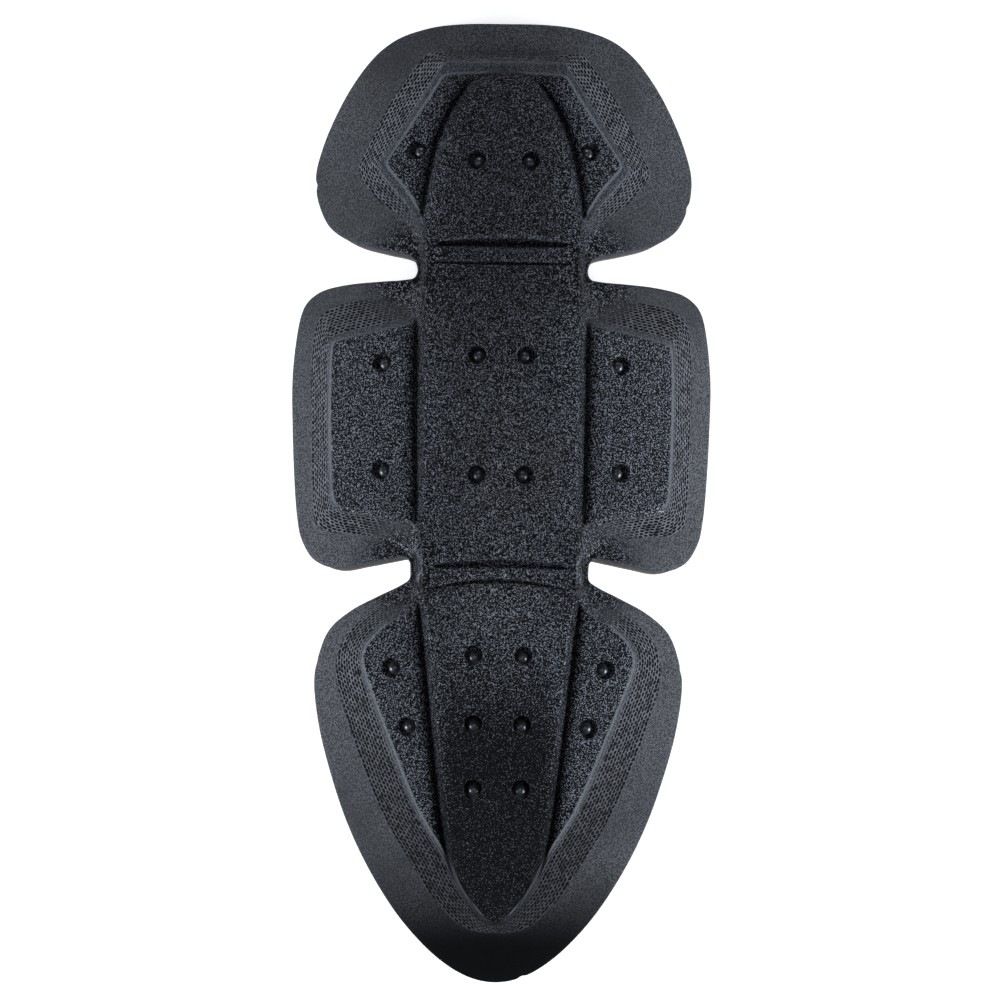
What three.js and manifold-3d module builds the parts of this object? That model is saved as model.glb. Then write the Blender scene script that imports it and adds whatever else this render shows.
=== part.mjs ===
// Elbow guard of moulded foam: a domed shell of three lobes with a raised relief, over a thin foam lining.
// Millimetres. X runs across the arm, Y along it towards the shoulder, +Z out of the elbow.
// The guard rests on its rim on the plane z = 0, under the middle of its length and width.

import * as THREE from 'three';
import { mergeVertices } from 'three/addons/utils/BufferGeometryUtils.js';
import Module from 'manifold-3d';

// Driving dimensions of the dome that the brim's outer face follows.
const APEX_HEIGHT = 40.49;         // brim level above the floor at the point of the elbow
const APEX_Y = -18;                // the point of the elbow lies on the lower hinge
const BEND_UPPER = 0.0014;         // drop per square millimetre along the upper arm
const BEND_LOWER = 0.003111;       // the same along the forearm
const ROLL_UPPER = 0.0083;         // drop per square millimetre across the upper and middle lobes
const ROLL_LOWER = 0.0065;         // the same across the lower lobe
const ROLL_CHANGE = [-50, 10];     // the stretch of Y where the one turns into the other

// Thicknesses, measured square to the dome.
const BRIM_THICKNESS = 3.5;
const LINING_GAP = 0.3;
const LINING_THICKNESS = 1.8;
const LINING_OVERHANG = 0.4;       // the lining's cut edge stands out under the brim

// Relief above the brim.
const CREASE_RISE = 4.5;           // top of the mesh-textured slope
const CROWN_RISE = 5.2;            // panels, after the bevel
const SPINE_RISE = 1.1;            // the middle spine, above the panels
const SPINE_WALL = 0.8;            // how far its wall leans out
const RELIEF_ROOT = 1;             // how deep the relief is rooted in the brim

// Sections of the right half from the top middle round to the tip. Each one runs from the cut edge
// to the crown; foot and crease are the shares of that way where the slope starts and where it ends.
const SECTIONS = [
  // place                edge x, y       crown x, y     foot  crease
  ['top middle',           0,  124.8,      0,  111.8,     0.69, 0.77],
  ['top',                 10,  124.7,    9.5,  111.5,     0.68, 0.77],
  ['top corner start',    18,  123.9,   14.8,  111.1,     0.57, 0.74],
  ['top corner',        23.4,  122.5,   16.0,  110.6,     0.51, 0.86],
  ['top corner',        26.2,  121.5,   16.9,  109.2,     0.52, 0.89],
  ['top corner end',    29.4,  119.8,   17.8,  107.8,     0.55, 0.90],
  ['upper side',        34.0,  116.0,   19.3,  105.4,     0.58, 0.91],
  ['upper side',        40.2,  107.6,   22.3,  100.7,     0.60, 0.92],
  ['upper side',        45.6,   96.8,   27.0,   93.4,     0.62, 0.92],
  ['side corner start', 48.2,   89.3,   29.6,   89.5,     0.63, 0.92],
  ['side corner',       49.0,   85.7,   30.2,   88.3,     0.62, 0.89],
  ['side corner',       49.1,   82.4,   29.9,   87.0,     0.62, 0.87],
  ['side corner end',   48.3,   77.5,   28.4,   85.2,     0.64, 0.87],
  ['lobe underside',    45.3,   71.3,   25.4,   81.6,     0.68, 0.88],
  ['lobe underside',    39.6,   67.5,   22.6,   77.4,     0.74, 0.90],
  ['lobe underside',      32,   65.5,   20.8,   73.6,     0.74, 0.90],
  ['notch upper lip',   25.2,   64.1,   20.0,   69.0,     0.60, 0.84],
  ['notch round',       23.2,   62.9,   19.8,   64.8,     0.50, 0.80],
  ['notch end',         22.3,   60.4,   19.7,   60.4,     0.36, 0.70],
  ['notch round',       23.1,   58.5,   19.8,   56.3,     0.46, 0.74],
  ['notch lower lip',   25.4,   57.9,   20.0,   51.6,     0.40, 0.80],
  ['lobe upper side',   32.5,   57.3,   21.2,   47.4,     0.40, 0.88],
  ['lobe upper side',     40,   56.5,   29.6,   45.0,     0.38, 0.91],
  ['corner start',      46.4,   55.0,   38.6,   42.8,     0.38, 0.91],
  ['corner',            49.2,   53.4,   42.2,   41.8,     0.42, 0.91],
  ['corner',            51.2,   51.3,   43.6,   41.0,     0.45, 0.91],
  ['corner end',        52.6,   48.0,   44.0,   39.2,     0.48, 0.92],
  ['middle side',       54.5,   34.0,   44.3,   30.0,     0.54, 0.94],
  ['middle side',       54.4,   18.0,   44.2,   17.0,     0.54, 0.94],
  ['corner start',      53.5,    1.0,   43.7,    4.8,     0.52, 0.93],
  ['corner',            52.9,   -4.6,   43.4,    1.6,     0.50, 0.92],
  ['corner',            51.9,   -9.5,   42.6,   -0.2,     0.46, 0.91],
  ['corner end',        48.7,  -14.9,   40.0,   -1.2,     0.54, 0.91],
  ['lobe lower side',   43.5,  -17.2,   34.0,   -2.1,     0.60, 0.91],
  ['lobe lower side',     36,  -16.2,   27.0,   -3.5,     0.56, 0.90],
  ['lobe lower side',   29.4,  -15.0,   22.1,   -5.8,     0.48, 0.86],
  ['notch upper lip',   24.9,  -14.4,   20.2,  -10.0,     0.38, 0.78],
  ['notch corner',      23.6,  -15.3,   20.0,  -14.2,     0.36, 0.74],
  ['notch end',         23.3,  -17.5,   19.9,  -17.8,     0.34, 0.70],
  ['notch corner',      23.5,  -19.8,   19.9,  -21.4,     0.36, 0.72],
  ['notch lower lip',   25.4,  -21.3,   20.2,  -25.2,     0.40, 0.80],
  ['lobe upper side',   31.6,  -24.4,   23.4,  -28.4,     0.42, 0.86],
  ['lobe upper side',   38.6,  -28.2,   29.0,  -31.8,     0.46, 0.88],
  ['corner',            44.2,  -33.2,   33.5,  -36.4,     0.47, 0.91],
  ['corner end',        46.9,  -39.8,   35.0,  -40.0,     0.46, 0.93],
  ['lower side',        48.0,  -46.0,   34.2,  -44.6,     0.46, 0.94],
  ['lower side',        46.8,  -57.5,   30.7,  -53.8,     0.49, 0.94],
  ['lower side',        43.6,  -70.2,   25.9,  -66.0,     0.51, 0.94],
  ['lower side',        38.9,  -83.8,   20.0,  -79.8,     0.54, 0.95],
  ['lower side',        32.4,  -97.0,   12.8,  -91.6,     0.56, 0.95],
  ['tip side',          24.2, -109.2,    8.9,  -99.6,     0.60, 0.95],
  ['tip side',          14.6, -118.9,    5.0, -105.0,     0.66, 0.95],
  ['tip',                6.8, -123.5,    2.4, -107.7,     0.78, 0.95],
  ['tip middle',           0, -124.8,      0, -108.7,     0.85, 0.95],
];
const EDGE_SAMPLES = 2;            // points of the cut edge from one section to the next
const RELIEF_SAMPLES = 1;          // the same for the lines of the relief

// Edge of the spine's flat top: points of the right half, from the top middle to the tip.
const SPINE_EDGE = [
  // x,   y
  [0,    110.8],
  [5,    109.9],
  [10,   104.8],
  [14.5,  95.6],
  [17.2,  86],
  [19.5,  71],
  [20,    57],
  [20,    20],
  [20,   -12],
  [19.3, -26],
  [17.6, -38],
  [16,   -55],
  [13.8, -74],
  [11.5, -90],
  [9.5,  -97],
  [7,   -102],
  [4,   -106.5],
  [0,   -108.7],
];

// Grooves between the spine and the side panels: points of the right half, from the top down.
const GROOVE_WIDTH = 3.6;
const GROOVE_DEPTH = 2.2;
const FLOOR_SHARE = 0.22;          // width of a groove's or crease's floor as a share of its mouth
const GROOVES = {
  upper: [[8.8, 110.2], [13.4, 103.2], [17.4, 94.4], [19.6, 85.4], [21.0, 74.9]],
  middle: [[22.4, 45.8], [22.3, 20], [21.6, -4.4]],
  lower: [[20.6, -27.9], [19.6, -40], [17.6, -57], [15.6, -75], [13.6, -88], [10.5, -97.6]],
};
const GROOVE_STEP = 8;              // way between two sections of a groove or crease
const CREASE_END = 0.3;            // width of a crease's ends as a share of its middle
const TROUGH_HEADROOM = 1.5;       // how far a groove's or crease's cutter stands out of the crown

// Hinge creases across the spine. Rows give the middle's Y, how far the ends drop below it,
// the half length, the width at the middle and the depth.
const CREASES = [
  // y,    ends,  half,  width, depth
  [67.7,   0.4,   17.5,  3.0,   1.7],
  [62.4,   0.0,   18.0,  1.4,   0.9],
  [-15.4,  0.6,   16.5,  2.6,   1.1],
  [-19.9,  2.4,   18.0,  1.6,   1.0],
];

// Round blind dimples, each with a low nub on its floor. Both halves carry them.
const DIMPLE_RADIUS = 2.5;
const DIMPLE_DEPTH = 2.0;
const NUB_RADIUS = 1.8;
const SPINE_DIMPLES = 15;          // dimples nearer to the middle than this lie on the spine
const DIMPLE_SIDES = 12;
const NUB_SIDES = 8;
const DIMPLES = [
  // x,    y
  [7.0,   89.2],
  [22.4,  91.6],
  [6.4,   38.6],
  [6.2,    7.6],
  [31.1,  36.2],
  [31.1,   8.4],
  [6.5,  -39.4],
  [6.4,  -57.4],
  [6.3,  -74.2],
  [27.8, -42.9],
  [23.6, -58.2],
];

// Flat on the crown of the spine, bare, in the middle between the two hinges.
const FLAT_Y = 22;
const FLAT_SHAVING = 0.3;
const FLAT_SIZE = [22, 30];

// Facets of the curved walls.
const FACET_X = 8.6;
const FACET_Y = 16;
const SHEET_HALF_WIDTH = 60;
const SHEET_HALF_LENGTH = 128;
const CUTTER_TOP = 90;
const CUTTER_BOTTOM = -60;

const wasm = await Module();
wasm.setup();

// The dome and its slopes.
function rollAt(y) {
  const share = THREE.MathUtils.smoothstep(y, ROLL_CHANGE[0], ROLL_CHANGE[1]);
  return THREE.MathUtils.lerp(ROLL_LOWER, ROLL_UPPER, share);
}

function domeHeight(x, y) {
  const along = y - APEX_Y;
  const bend = along > 0 ? BEND_UPPER : BEND_LOWER;
  return APEX_HEIGHT - bend * along * along - rollAt(y) * x * x;
}

function domeNormal(x, y) {
  const step = 0.01;
  const slopeX = (domeHeight(x + step, y) - domeHeight(x - step, y)) / (2 * step);
  const slopeY = (domeHeight(x, y + step) - domeHeight(x, y - step)) / (2 * step);
  return new THREE.Vector3(-slopeX, -slopeY, 1).normalize();
}

// A point at a height over the dome: straight up above the brim's face, square to the dome below it.
function onDome(x, y, height) {
  const normal = domeNormal(x, y);
  const foot = new THREE.Vector3(x, y, domeHeight(x, y));
  if (height > 0) {
    foot.z += height / normal.z;
    return foot;
  }
  return foot.addScaledVector(normal, height);
}

// Closed ring of plan points at one share of the way from the edge to the crown, anticlockwise.
function contour(samples, shareOf) {
  const right = SECTIONS.map(([, edgeX, edgeY, crownX, crownY, foot, crease]) => {
    const share = shareOf({ foot, crease });
    const x = THREE.MathUtils.lerp(edgeX, crownX, share);
    const y = THREE.MathUtils.lerp(edgeY, crownY, share);
    return new THREE.Vector3(x, y, 0);
  });
  return mirroredRing(right, samples);
}

// Closed ring through points of the right half and their mirror images, anticlockwise.
function mirroredRing(right, samples) {
  const left = right.slice(1, -1).map((point) => new THREE.Vector3(-point.x, point.y, 0));
  const loop = [...right.toReversed(), ...left];
  const curve = new THREE.CatmullRomCurve3(loop, true, 'centripetal');
  return curve.getPoints(loop.length * samples).slice(0, -1);
}

function grownRing(ring, distance) {
  return ring.map((point, index) => {
    const before = ring.at(index - 1);
    const after = ring[(index + 1) % ring.length];
    const outward = new THREE.Vector3(after.y - before.y, before.x - after.x, 0).normalize();
    return point.clone().addScaledVector(outward, distance);
  });
}

// Cap faces of a plan ring, and of a small convex section.
function planCap(ring) {
  return THREE.ShapeUtils.triangulateShape(ring.map((point) => new THREE.Vector2(point.x, point.y)), []);
}

function fanCap(ring) {
  return ring.slice(2).map((_, index) => [0, index + 1, index + 2]);
}

// Closed body through a stack of rings, each anticlockwise as seen from the stack's last ring.
function ringStack(rings, cap = planCap) {
  const count = rings[0].length;
  const positions = rings.flat().flatMap((point) => [point.x, point.y, point.z]);
  const faces = [];
  for (let level = 0; level < rings.length - 1; level++) {
    for (let index = 0; index < count; index++) {
      const next = (index + 1) % count;
      const low = level * count;
      const high = low + count;
      faces.push(low + index, low + next, high + next);
      faces.push(low + index, high + next, high + index);
    }
  }
  const last = (rings.length - 1) * count;
  for (const [a, b, c] of cap(rings[0])) {
    faces.push(a, c, b);
  }
  for (const [a, b, c] of cap(rings.at(-1))) {
    faces.push(last + a, last + b, last + c);
  }
  const geometry = new THREE.BufferGeometry();
  geometry.setAttribute('position', new THREE.Float32BufferAttribute(positions, 3));
  geometry.setIndex(faces);
  return geometry;
}

function toSolid(geometry) {
  const plain = geometry.clone();
  plain.deleteAttribute('normal');
  plain.deleteAttribute('uv');
  const merged = mergeVertices(plain, 1e-4);
  return new wasm.Manifold(new wasm.Mesh({
    numProp: 3,
    vertProperties: new Float32Array(merged.attributes.position.array),
    triVerts: new Uint32Array(merged.index.array),
  }));
}

function toGeometry(solid) {
  const { vertProperties, triVerts } = solid.getMesh();
  const geometry = new THREE.BufferGeometry();
  geometry.setAttribute('position', new THREE.BufferAttribute(vertProperties, 3));
  geometry.setIndex(new THREE.BufferAttribute(triVerts, 1));
  geometry.computeVertexNormals();
  return geometry;
}

// Curved sheet between two heights over the dome, wider than the guard.
function sheet(lowHeight, highHeight) {
  const columns = 2 * Math.round(SHEET_HALF_WIDTH / FACET_X);
  const rows = 2 * Math.round(SHEET_HALF_LENGTH / FACET_Y);
  const box = new THREE.BoxGeometry(2 * SHEET_HALF_WIDTH, 2 * SHEET_HALF_LENGTH, 2, columns, rows, 1);
  const position = box.attributes.position;
  for (let index = 0; index < position.count; index++) {
    const x = position.getX(index);
    const y = position.getY(index);
    const height = position.getZ(index) > 0 ? highHeight : lowHeight;
    position.setXYZ(index, ...onDome(x, y, height).toArray());
  }
  return toSolid(box);
}

function atHeight(ring, height) {
  return ring.map((point) => onDome(point.x, point.y, height));
}

function atLevel(ring, z) {
  return ring.map((point) => new THREE.Vector3(point.x, point.y, z));
}

// Cutter whose walls are the cut edge: upright above the brim's face, square to the dome below it.
function edgeCutter(edge) {
  const deep = atHeight(edge, -2 * (BRIM_THICKNESS + LINING_THICKNESS));
  return toSolid(ringStack([
    atLevel(deep, CUTTER_BOTTOM),
    deep,
    atHeight(edge, 0),
    atLevel(edge, CUTTER_TOP),
  ]));
}

// Cutter whose walls are the slope and the bevel round the raised relief.
function reliefCutter(foot, crease, crown) {
  return toSolid(ringStack([
    atLevel(foot, CUTTER_BOTTOM),
    atHeight(foot, 0),
    atHeight(crease, CREASE_RISE),
    atHeight(crown, CROWN_RISE),
    atLevel(crown, CUTTER_TOP),
  ]));
}

// The raised spine: its flat top's edge, and a short steep wall round it.
function spineCutter() {
  const edge = mirroredRing(SPINE_EDGE.map(([x, y]) => new THREE.Vector3(x, y, 0)), RELIEF_SAMPLES);
  const foot = grownRing(edge, SPINE_WALL);
  const top = CROWN_RISE + SPINE_RISE;
  return toSolid(ringStack([
    atLevel(foot, CUTTER_BOTTOM),
    atHeight(foot, CROWN_RISE),
    atHeight(edge, top),
    atLevel(edge, CUTTER_TOP),
  ]));
}

// Trough along a middle line: sections narrow at the floor and wider towards the mouth, whose
// rise is given.
function trough(line, widthAt, depth, rise) {
  const sections = line.map((point, index) => {
    const ahead = line[Math.min(index + 1, line.length - 1)];
    const behind = line[Math.max(index - 1, 0)];
    const across = new THREE.Vector3(behind.y - ahead.y, ahead.x - behind.x, 0).normalize();
    const width = widthAt(index / (line.length - 1));
    const corner = (side, level) => {
      const share = THREE.MathUtils.mapLinear(level, -depth, 0, FLOOR_SHARE, 1);
      const place = point.clone().addScaledVector(across, (side * width * share) / 2);
      return onDome(place.x, place.y, rise + level);
    };
    return [corner(-1, -depth), corner(1, -depth), corner(1, TROUGH_HEADROOM), corner(-1, TROUGH_HEADROOM)];
  });
  return toSolid(ringStack(sections, fanCap));
}

function grooveCutters() {
  return Object.values(GROOVES).flatMap((points) => [1, -1].map((side) => {
    const curve = new THREE.CatmullRomCurve3(points.map(([x, y]) => new THREE.Vector3(side * x, y, 0)));
    const line = curve.getSpacedPoints(Math.ceil(curve.getLength() / GROOVE_STEP));
    return trough(line, () => GROOVE_WIDTH, GROOVE_DEPTH, CROWN_RISE);
  }));
}

function creaseCutters() {
  return CREASES.map(([y, ends, half, width, depth]) => {
    const middle = new THREE.Vector3(0, y + ends, 0);
    const arch = new THREE.QuadraticBezierCurve3(
      new THREE.Vector3(half, y - ends, 0), middle, new THREE.Vector3(-half, y - ends, 0));
    const line = arch.getPoints(Math.ceil((2 * half) / GROOVE_STEP));
    const widthAt = (share) => width * THREE.MathUtils.lerp(CREASE_END, 1, Math.sin(Math.PI * share));
    return trough(line, widthAt, depth, CROWN_RISE + SPINE_RISE);
  });
}

// One dimple: the hole to cut and the nub to leave on its floor.
function dimple(x, y) {
  const onSpine = Math.abs(x) < SPINE_DIMPLES;
  const mouth = onDome(x, y, CROWN_RISE + (onSpine ? SPINE_RISE : 0));
  const normal = domeNormal(x, y);
  const turn = new THREE.Quaternion().setFromUnitVectors(new THREE.Vector3(0, 1, 0), normal);
  const place = (geometry, height) => {
    const centre = mouth.clone().addScaledVector(normal, height);
    return toSolid(geometry.applyQuaternion(turn).translate(...centre.toArray()));
  };
  const hole = new THREE.CylinderGeometry(DIMPLE_RADIUS, DIMPLE_RADIUS, 2 * DIMPLE_DEPTH, DIMPLE_SIDES);
  const nub = new THREE.SphereGeometry(NUB_RADIUS, NUB_SIDES, NUB_SIDES / 2);
  return { hole: place(hole, 0), nub: place(nub, -DIMPLE_DEPTH) };
}

// Block that shaves a narrow flat off the spine's crown.
function flatCutter() {
  const normal = domeNormal(0, FLAT_Y);
  const block = new THREE.BoxGeometry(...FLAT_SIZE, FLAT_SIZE[0]);
  const turn = new THREE.Quaternion().setFromUnitVectors(new THREE.Vector3(0, 0, 1), normal);
  const crown = onDome(0, FLAT_Y, CROWN_RISE + SPINE_RISE);
  const centre = crown.addScaledVector(normal, FLAT_SIZE[0] / 2 - FLAT_SHAVING);
  return toSolid(block.applyQuaternion(turn).translate(...centre.toArray()));
}

function buildShell(edge) {
  const foot = contour(RELIEF_SAMPLES, (share) => share.foot);
  const crease = contour(RELIEF_SAMPLES, (share) => share.crease);
  const crown = contour(RELIEF_SAMPLES, () => 1);
  const brim = sheet(-BRIM_THICKNESS, 0).intersect(edgeCutter(edge));
  const spine = sheet(-RELIEF_ROOT, CROWN_RISE + SPINE_RISE).intersect(spineCutter());
  const relief = sheet(-RELIEF_ROOT, CROWN_RISE).add(spine).intersect(reliefCutter(foot, crease, crown));
  let shell = brim.add(relief);
  for (const cutter of [...grooveCutters(), ...creaseCutters(), flatCutter()]) {
    shell = shell.subtract(cutter);
  }
  for (const [x, y] of DIMPLES.flatMap(([dx, dy]) => [[dx, dy], [-dx, dy]])) {
    const { hole, nub } = dimple(x, y);
    shell = shell.subtract(hole).add(nub);
  }
  return shell;
}

function buildLining(edge) {
  const top = -(BRIM_THICKNESS + LINING_GAP);
  return sheet(top - LINING_THICKNESS, top).intersect(edgeCutter(grownRing(edge, LINING_OVERHANG)));
}

function pieceMesh(name, solid, look) {
  const mesh = new THREE.Mesh(toGeometry(solid), new THREE.MeshStandardMaterial(look));
  mesh.name = name;
  return mesh;
}

const guard = new THREE.Group();
guard.name = 'elbow_guard';
const cutEdge = contour(EDGE_SAMPLES, () => 0);
guard.add(
  pieceMesh('moulded_shell', buildShell(cutEdge), { color: 0x2b2d31, roughness: 0.75, metalness: 0 }),
  pieceMesh('foam_lining', buildLining(cutEdge), { color: 0x4a443f, roughness: 0.9, metalness: 0 }),
);

export default guard;
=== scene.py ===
"""Elbow guard of moulded foam: a domed shell of three lobes over a thin foam lining.

Sizes are in millimetres, square to the guard's dome where they are thicknesses or rises, and the
meshes are written in metres. X runs across the arm, Y along it towards the shoulder and +Z out of
the elbow; the guard rests on its rim on z = 0.
"""

import logging
import math
from dataclasses import dataclass, field, replace
from enum import Enum
from typing import Any

import bpy
import numpy as np
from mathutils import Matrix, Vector
from mathutils.geometry import delaunay_2d_cdt


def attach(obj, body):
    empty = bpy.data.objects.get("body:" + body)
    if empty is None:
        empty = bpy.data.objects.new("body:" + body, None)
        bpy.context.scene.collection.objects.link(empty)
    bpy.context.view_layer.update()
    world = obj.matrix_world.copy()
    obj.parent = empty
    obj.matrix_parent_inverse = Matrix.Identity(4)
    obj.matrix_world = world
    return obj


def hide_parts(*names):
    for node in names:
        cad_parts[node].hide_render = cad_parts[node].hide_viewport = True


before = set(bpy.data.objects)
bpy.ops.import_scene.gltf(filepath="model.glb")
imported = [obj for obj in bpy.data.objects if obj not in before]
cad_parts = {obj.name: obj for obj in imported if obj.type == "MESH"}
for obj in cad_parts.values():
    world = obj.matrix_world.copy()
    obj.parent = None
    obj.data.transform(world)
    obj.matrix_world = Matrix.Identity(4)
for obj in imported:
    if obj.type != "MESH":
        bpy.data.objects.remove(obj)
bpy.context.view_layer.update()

LOG = logging.getLogger("elbow_guard")
MM = 0.001
Array = np.ndarray
Pair = tuple[float, float]
NET_ALONG = "net_along"
NET_UP = "net_up"
FINE_SPANS = 20
FINE_LOOP_SPANS = 40
DISTANCE_PART = 4000


class Zone(Enum):
    """Painted zones of the shell, each the name of a point attribute from 0 to 1."""

    NET = "net_zone"
    GRAIN = "grain_zone"
    # Painted shade in the hollows: grooves, creases, dimples, the spine's wall and seam, narrow slopes
    CAVITY = "cavity"
    NUB = "nub_zone"
    CUT = "cut_zone"
    BEVEL = "bevel_zone"
    # Painted highlight on the crown's edge, beside wide bevels, on the creases' lips and the collars
    RIDGE = "ridge_zone"
    # Where pits get painted shade: round the notch ends and the hinge creases
    NECK = "neck_zone"


# Small formulas on whole arrays

def smoothstep(low: float, high: float, value: Array) -> Array:
    """Share from 0 to 1 that eases in and out: 3t^2 - 2t^3 of the clamped way from low to high."""
    share = np.clip((value - low) / (high - low), 0.0, 1.0)
    return share * share * (3.0 - 2.0 * share)


def eased_ramp(value: Array, radius: Array) -> Array:
    """Zero below 0 and value above it, joined by a parabola over -radius to radius."""
    inside = (value + radius) ** 2 / (4.0 * radius)
    return np.where(value < -radius, 0.0, np.where(value > radius, value, inside))


def spline(points: Array, parameter: Array, closed: bool) -> Array:
    """Centripetal Catmull-Rom curve through plan points.

    Each span is a cubic whose end slopes come from the square roots of the distances to the
    neighbouring points, so that close points make a tight corner with no overshoot.

    Args:
        points: the points, one row each.
        parameter: positions on the curve, counted in points from the first one.
        closed: whether the curve runs from the last point back to the first.

    Returns:
        One row for each position.
    """
    count = len(points)
    spans = count if closed else count - 1
    start = np.clip(np.floor(parameter).astype(int), 0, spans - 1)
    share = (parameter - start)[:, None]
    if closed:
        around = [points[(start + shift) % count] for shift in (-1, 0, 1, 2)]
    else:
        padded = np.vstack([2 * points[0] - points[1], points, 2 * points[-1] - points[-2]])
        around = [padded[start + shift] for shift in range(4)]
    before, here, there, after = around
    gap_in = np.sqrt(np.linalg.norm(here - before, axis=1))[:, None]
    gap = np.sqrt(np.linalg.norm(there - here, axis=1))[:, None]
    gap_out = np.sqrt(np.linalg.norm(after - there, axis=1))[:, None]
    slope_here = gap * ((here - before) / gap_in - (there - before) / (gap_in + gap)
                        + (there - here) / gap)
    slope_there = gap * ((there - here) / gap - (after - here) / (gap + gap_out)
                         + (after - there) / gap_out)
    square, cube = share ** 2, share ** 3
    return ((2 * cube - 3 * square + 1) * here + (cube - 2 * square + share) * slope_here
            + (3 * square - 2 * cube) * there + (cube - square) * slope_there)


def stepped_line(points: Array, step: float) -> Array:
    """An open curve through plan points, cut into even steps.

    Args:
        points: the points, one row each.
        step: about the way from one place to the next.

    Returns:
        The places, read off a fine curve at equal shares of its length.
    """
    fine = spline(points, np.linspace(0, len(points) - 1, FINE_SPANS * len(points)), False)
    way = np.concatenate([[0.0], np.cumsum(np.linalg.norm(np.diff(fine, axis=0), axis=1))])
    places = np.linspace(0, way[-1], max(2, round(way[-1] / step)))
    return np.stack([np.interp(places, way, fine[:, axis]) for axis in range(2)], axis=1)


def right_half(plan: Array) -> Array:
    """Plan points with those of the left half mirrored to the right."""
    return np.stack([np.abs(plan[:, 0]), plan[:, 1]], axis=1)


def inside_ring(points: Array, ring: Array) -> Array:
    """Whether each plan point lies in a closed ring.

    Args:
        points: plan points.
        ring: plan points of the closed line.

    Returns:
        True where an odd number of the ring's spans pass the point on its right.
    """
    x, y = points[:, :1], points[:, 1:]
    start, end = ring, np.roll(ring, -1, axis=0)
    straddles = (start[:, 1] > y) != (end[:, 1] > y)
    rise = np.where(end[:, 1] == start[:, 1], 1.0, end[:, 1] - start[:, 1])
    crossing = start[:, 0] + (y - start[:, 1]) * (end[:, 0] - start[:, 0]) / rise
    return (np.count_nonzero(straddles & (x < crossing), axis=1) % 2) == 1


def ring_distance(points: Array, ring: Array) -> Array:
    """Distance from each plan point to the nearest point of a finely stepped ring.

    Args:
        points: plan points, which are worked through in parts to save memory.
        ring: plan points of the closed line.

    Returns:
        One distance for each point.
    """
    parts = np.array_split(points, max(1, len(points) // DISTANCE_PART))
    gaps = [np.min(np.hypot(part[:, :1] - ring[:, 0], part[:, 1:] - ring[:, 1]), axis=1)
            for part in parts]
    return np.concatenate(gaps)


def line_offset(points: Array, line: Array) -> tuple[Array, Array]:
    """Offset of plan points from a stepped line.

    The nearest place on each span is the clamped projection on it, and the nearest span gives both
    values.

    Args:
        points: plan points.
        line: the stepped line.

    Returns:
        Distance to the line, positive on its left, and the way along it to the nearest place.
    """
    start, step = line[:-1], np.diff(line, axis=0)
    length = np.linalg.norm(step, axis=1)
    to_point = points[:, None, :] - start[None, :, :]
    share = np.clip(np.sum(to_point * step, axis=2) / length ** 2, 0.0, 1.0)
    gap = np.linalg.norm(to_point - share[..., None] * step, axis=2)
    nearest = np.argmin(gap, axis=1)
    rows = np.arange(len(points))
    reach = to_point[rows, nearest]
    side = step[nearest, 0] * reach[:, 1] - step[nearest, 1] * reach[:, 0]
    begun = np.concatenate([[0.0], np.cumsum(length)[:-1]])
    along = begun[nearest] + share[rows, nearest] * length[nearest]
    return np.where(side >= 0, 1.0, -1.0) * gap[rows, nearest], along


def outward_of(ring: Array) -> Array:
    """Unit plan directions square to an anticlockwise ring, away from its inside.

    Args:
        ring: plan points of the closed line.

    Returns:
        The way from the point before to the point after, a quarter turn clockwise, at length one.
    """
    tangent = np.roll(ring, -1, axis=0) - np.roll(ring, 1, axis=0)
    outward = np.stack([tangent[:, 1], -tangent[:, 0]], axis=1)
    return outward / np.linalg.norm(outward, axis=1)[:, None]


# The guard's form

@dataclass(frozen=True)
class Dome:
    """The curved sheet that the brim's outer face follows."""

    apex_height: float = 40.49
    apex_y: float = -18.0
    bend_upper: float = 0.0014
    bend_lower: float = 0.003111
    roll_upper: float = 0.0083
    roll_lower: float = 0.0065
    roll_change: Pair = (-50.0, 10.0)
    slope_step: float = 0.01

    def height(self, x: Array, y: Array) -> Array:
        """Height of the dome over the floor.

        Args:
            x, y: plan places.

        Returns:
            Apex height, less a square of the way along the arm and a square of the way across it.
        """
        along = y - self.apex_y
        bend = np.where(along > 0, self.bend_upper, self.bend_lower)
        share = smoothstep(*self.roll_change, y)
        roll = self.roll_lower + (self.roll_upper - self.roll_lower) * share
        return self.apex_height - bend * along ** 2 - roll * x ** 2

    def normal(self, x: Array, y: Array) -> Array:
        """Unit normals of the dome.

        Args:
            x, y: plan places.

        Returns:
            Directions square to the dome's slopes, which are measured over a short step each way.
        """
        step = self.slope_step
        slope_x = (self.height(x + step, y) - self.height(x - step, y)) / (2 * step)
        slope_y = (self.height(x, y + step) - self.height(x, y - step)) / (2 * step)
        normal = np.stack([-slope_x, -slope_y, np.ones_like(slope_x)], axis=-1)
        return normal / np.linalg.norm(normal, axis=-1, keepdims=True)

    def place(self, plan: Array, level: Array) -> Array:
        """Points at a level over the dome.

        Args:
            plan: plan places.
            level: distance from the dome, square to it.

        Returns:
            Points straight above the dome where the level is positive, by the level over the
            normal's upward part, and square to the dome below it.
        """
        x, y = plan[..., 0], plan[..., 1]
        normal = self.normal(x, y)
        point = np.stack([x, y, self.height(x, y)], axis=-1)
        point[..., 2] += np.maximum(level, 0.0) / normal[..., 2]
        return point + normal * np.minimum(level, 0.0)[..., None]


@dataclass(frozen=True)
class Section:
    """One section of the right half, from the cut edge to the crown; foot and crease are shares."""

    edge: Pair
    crown: Pair
    foot: float
    crease: float


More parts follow.
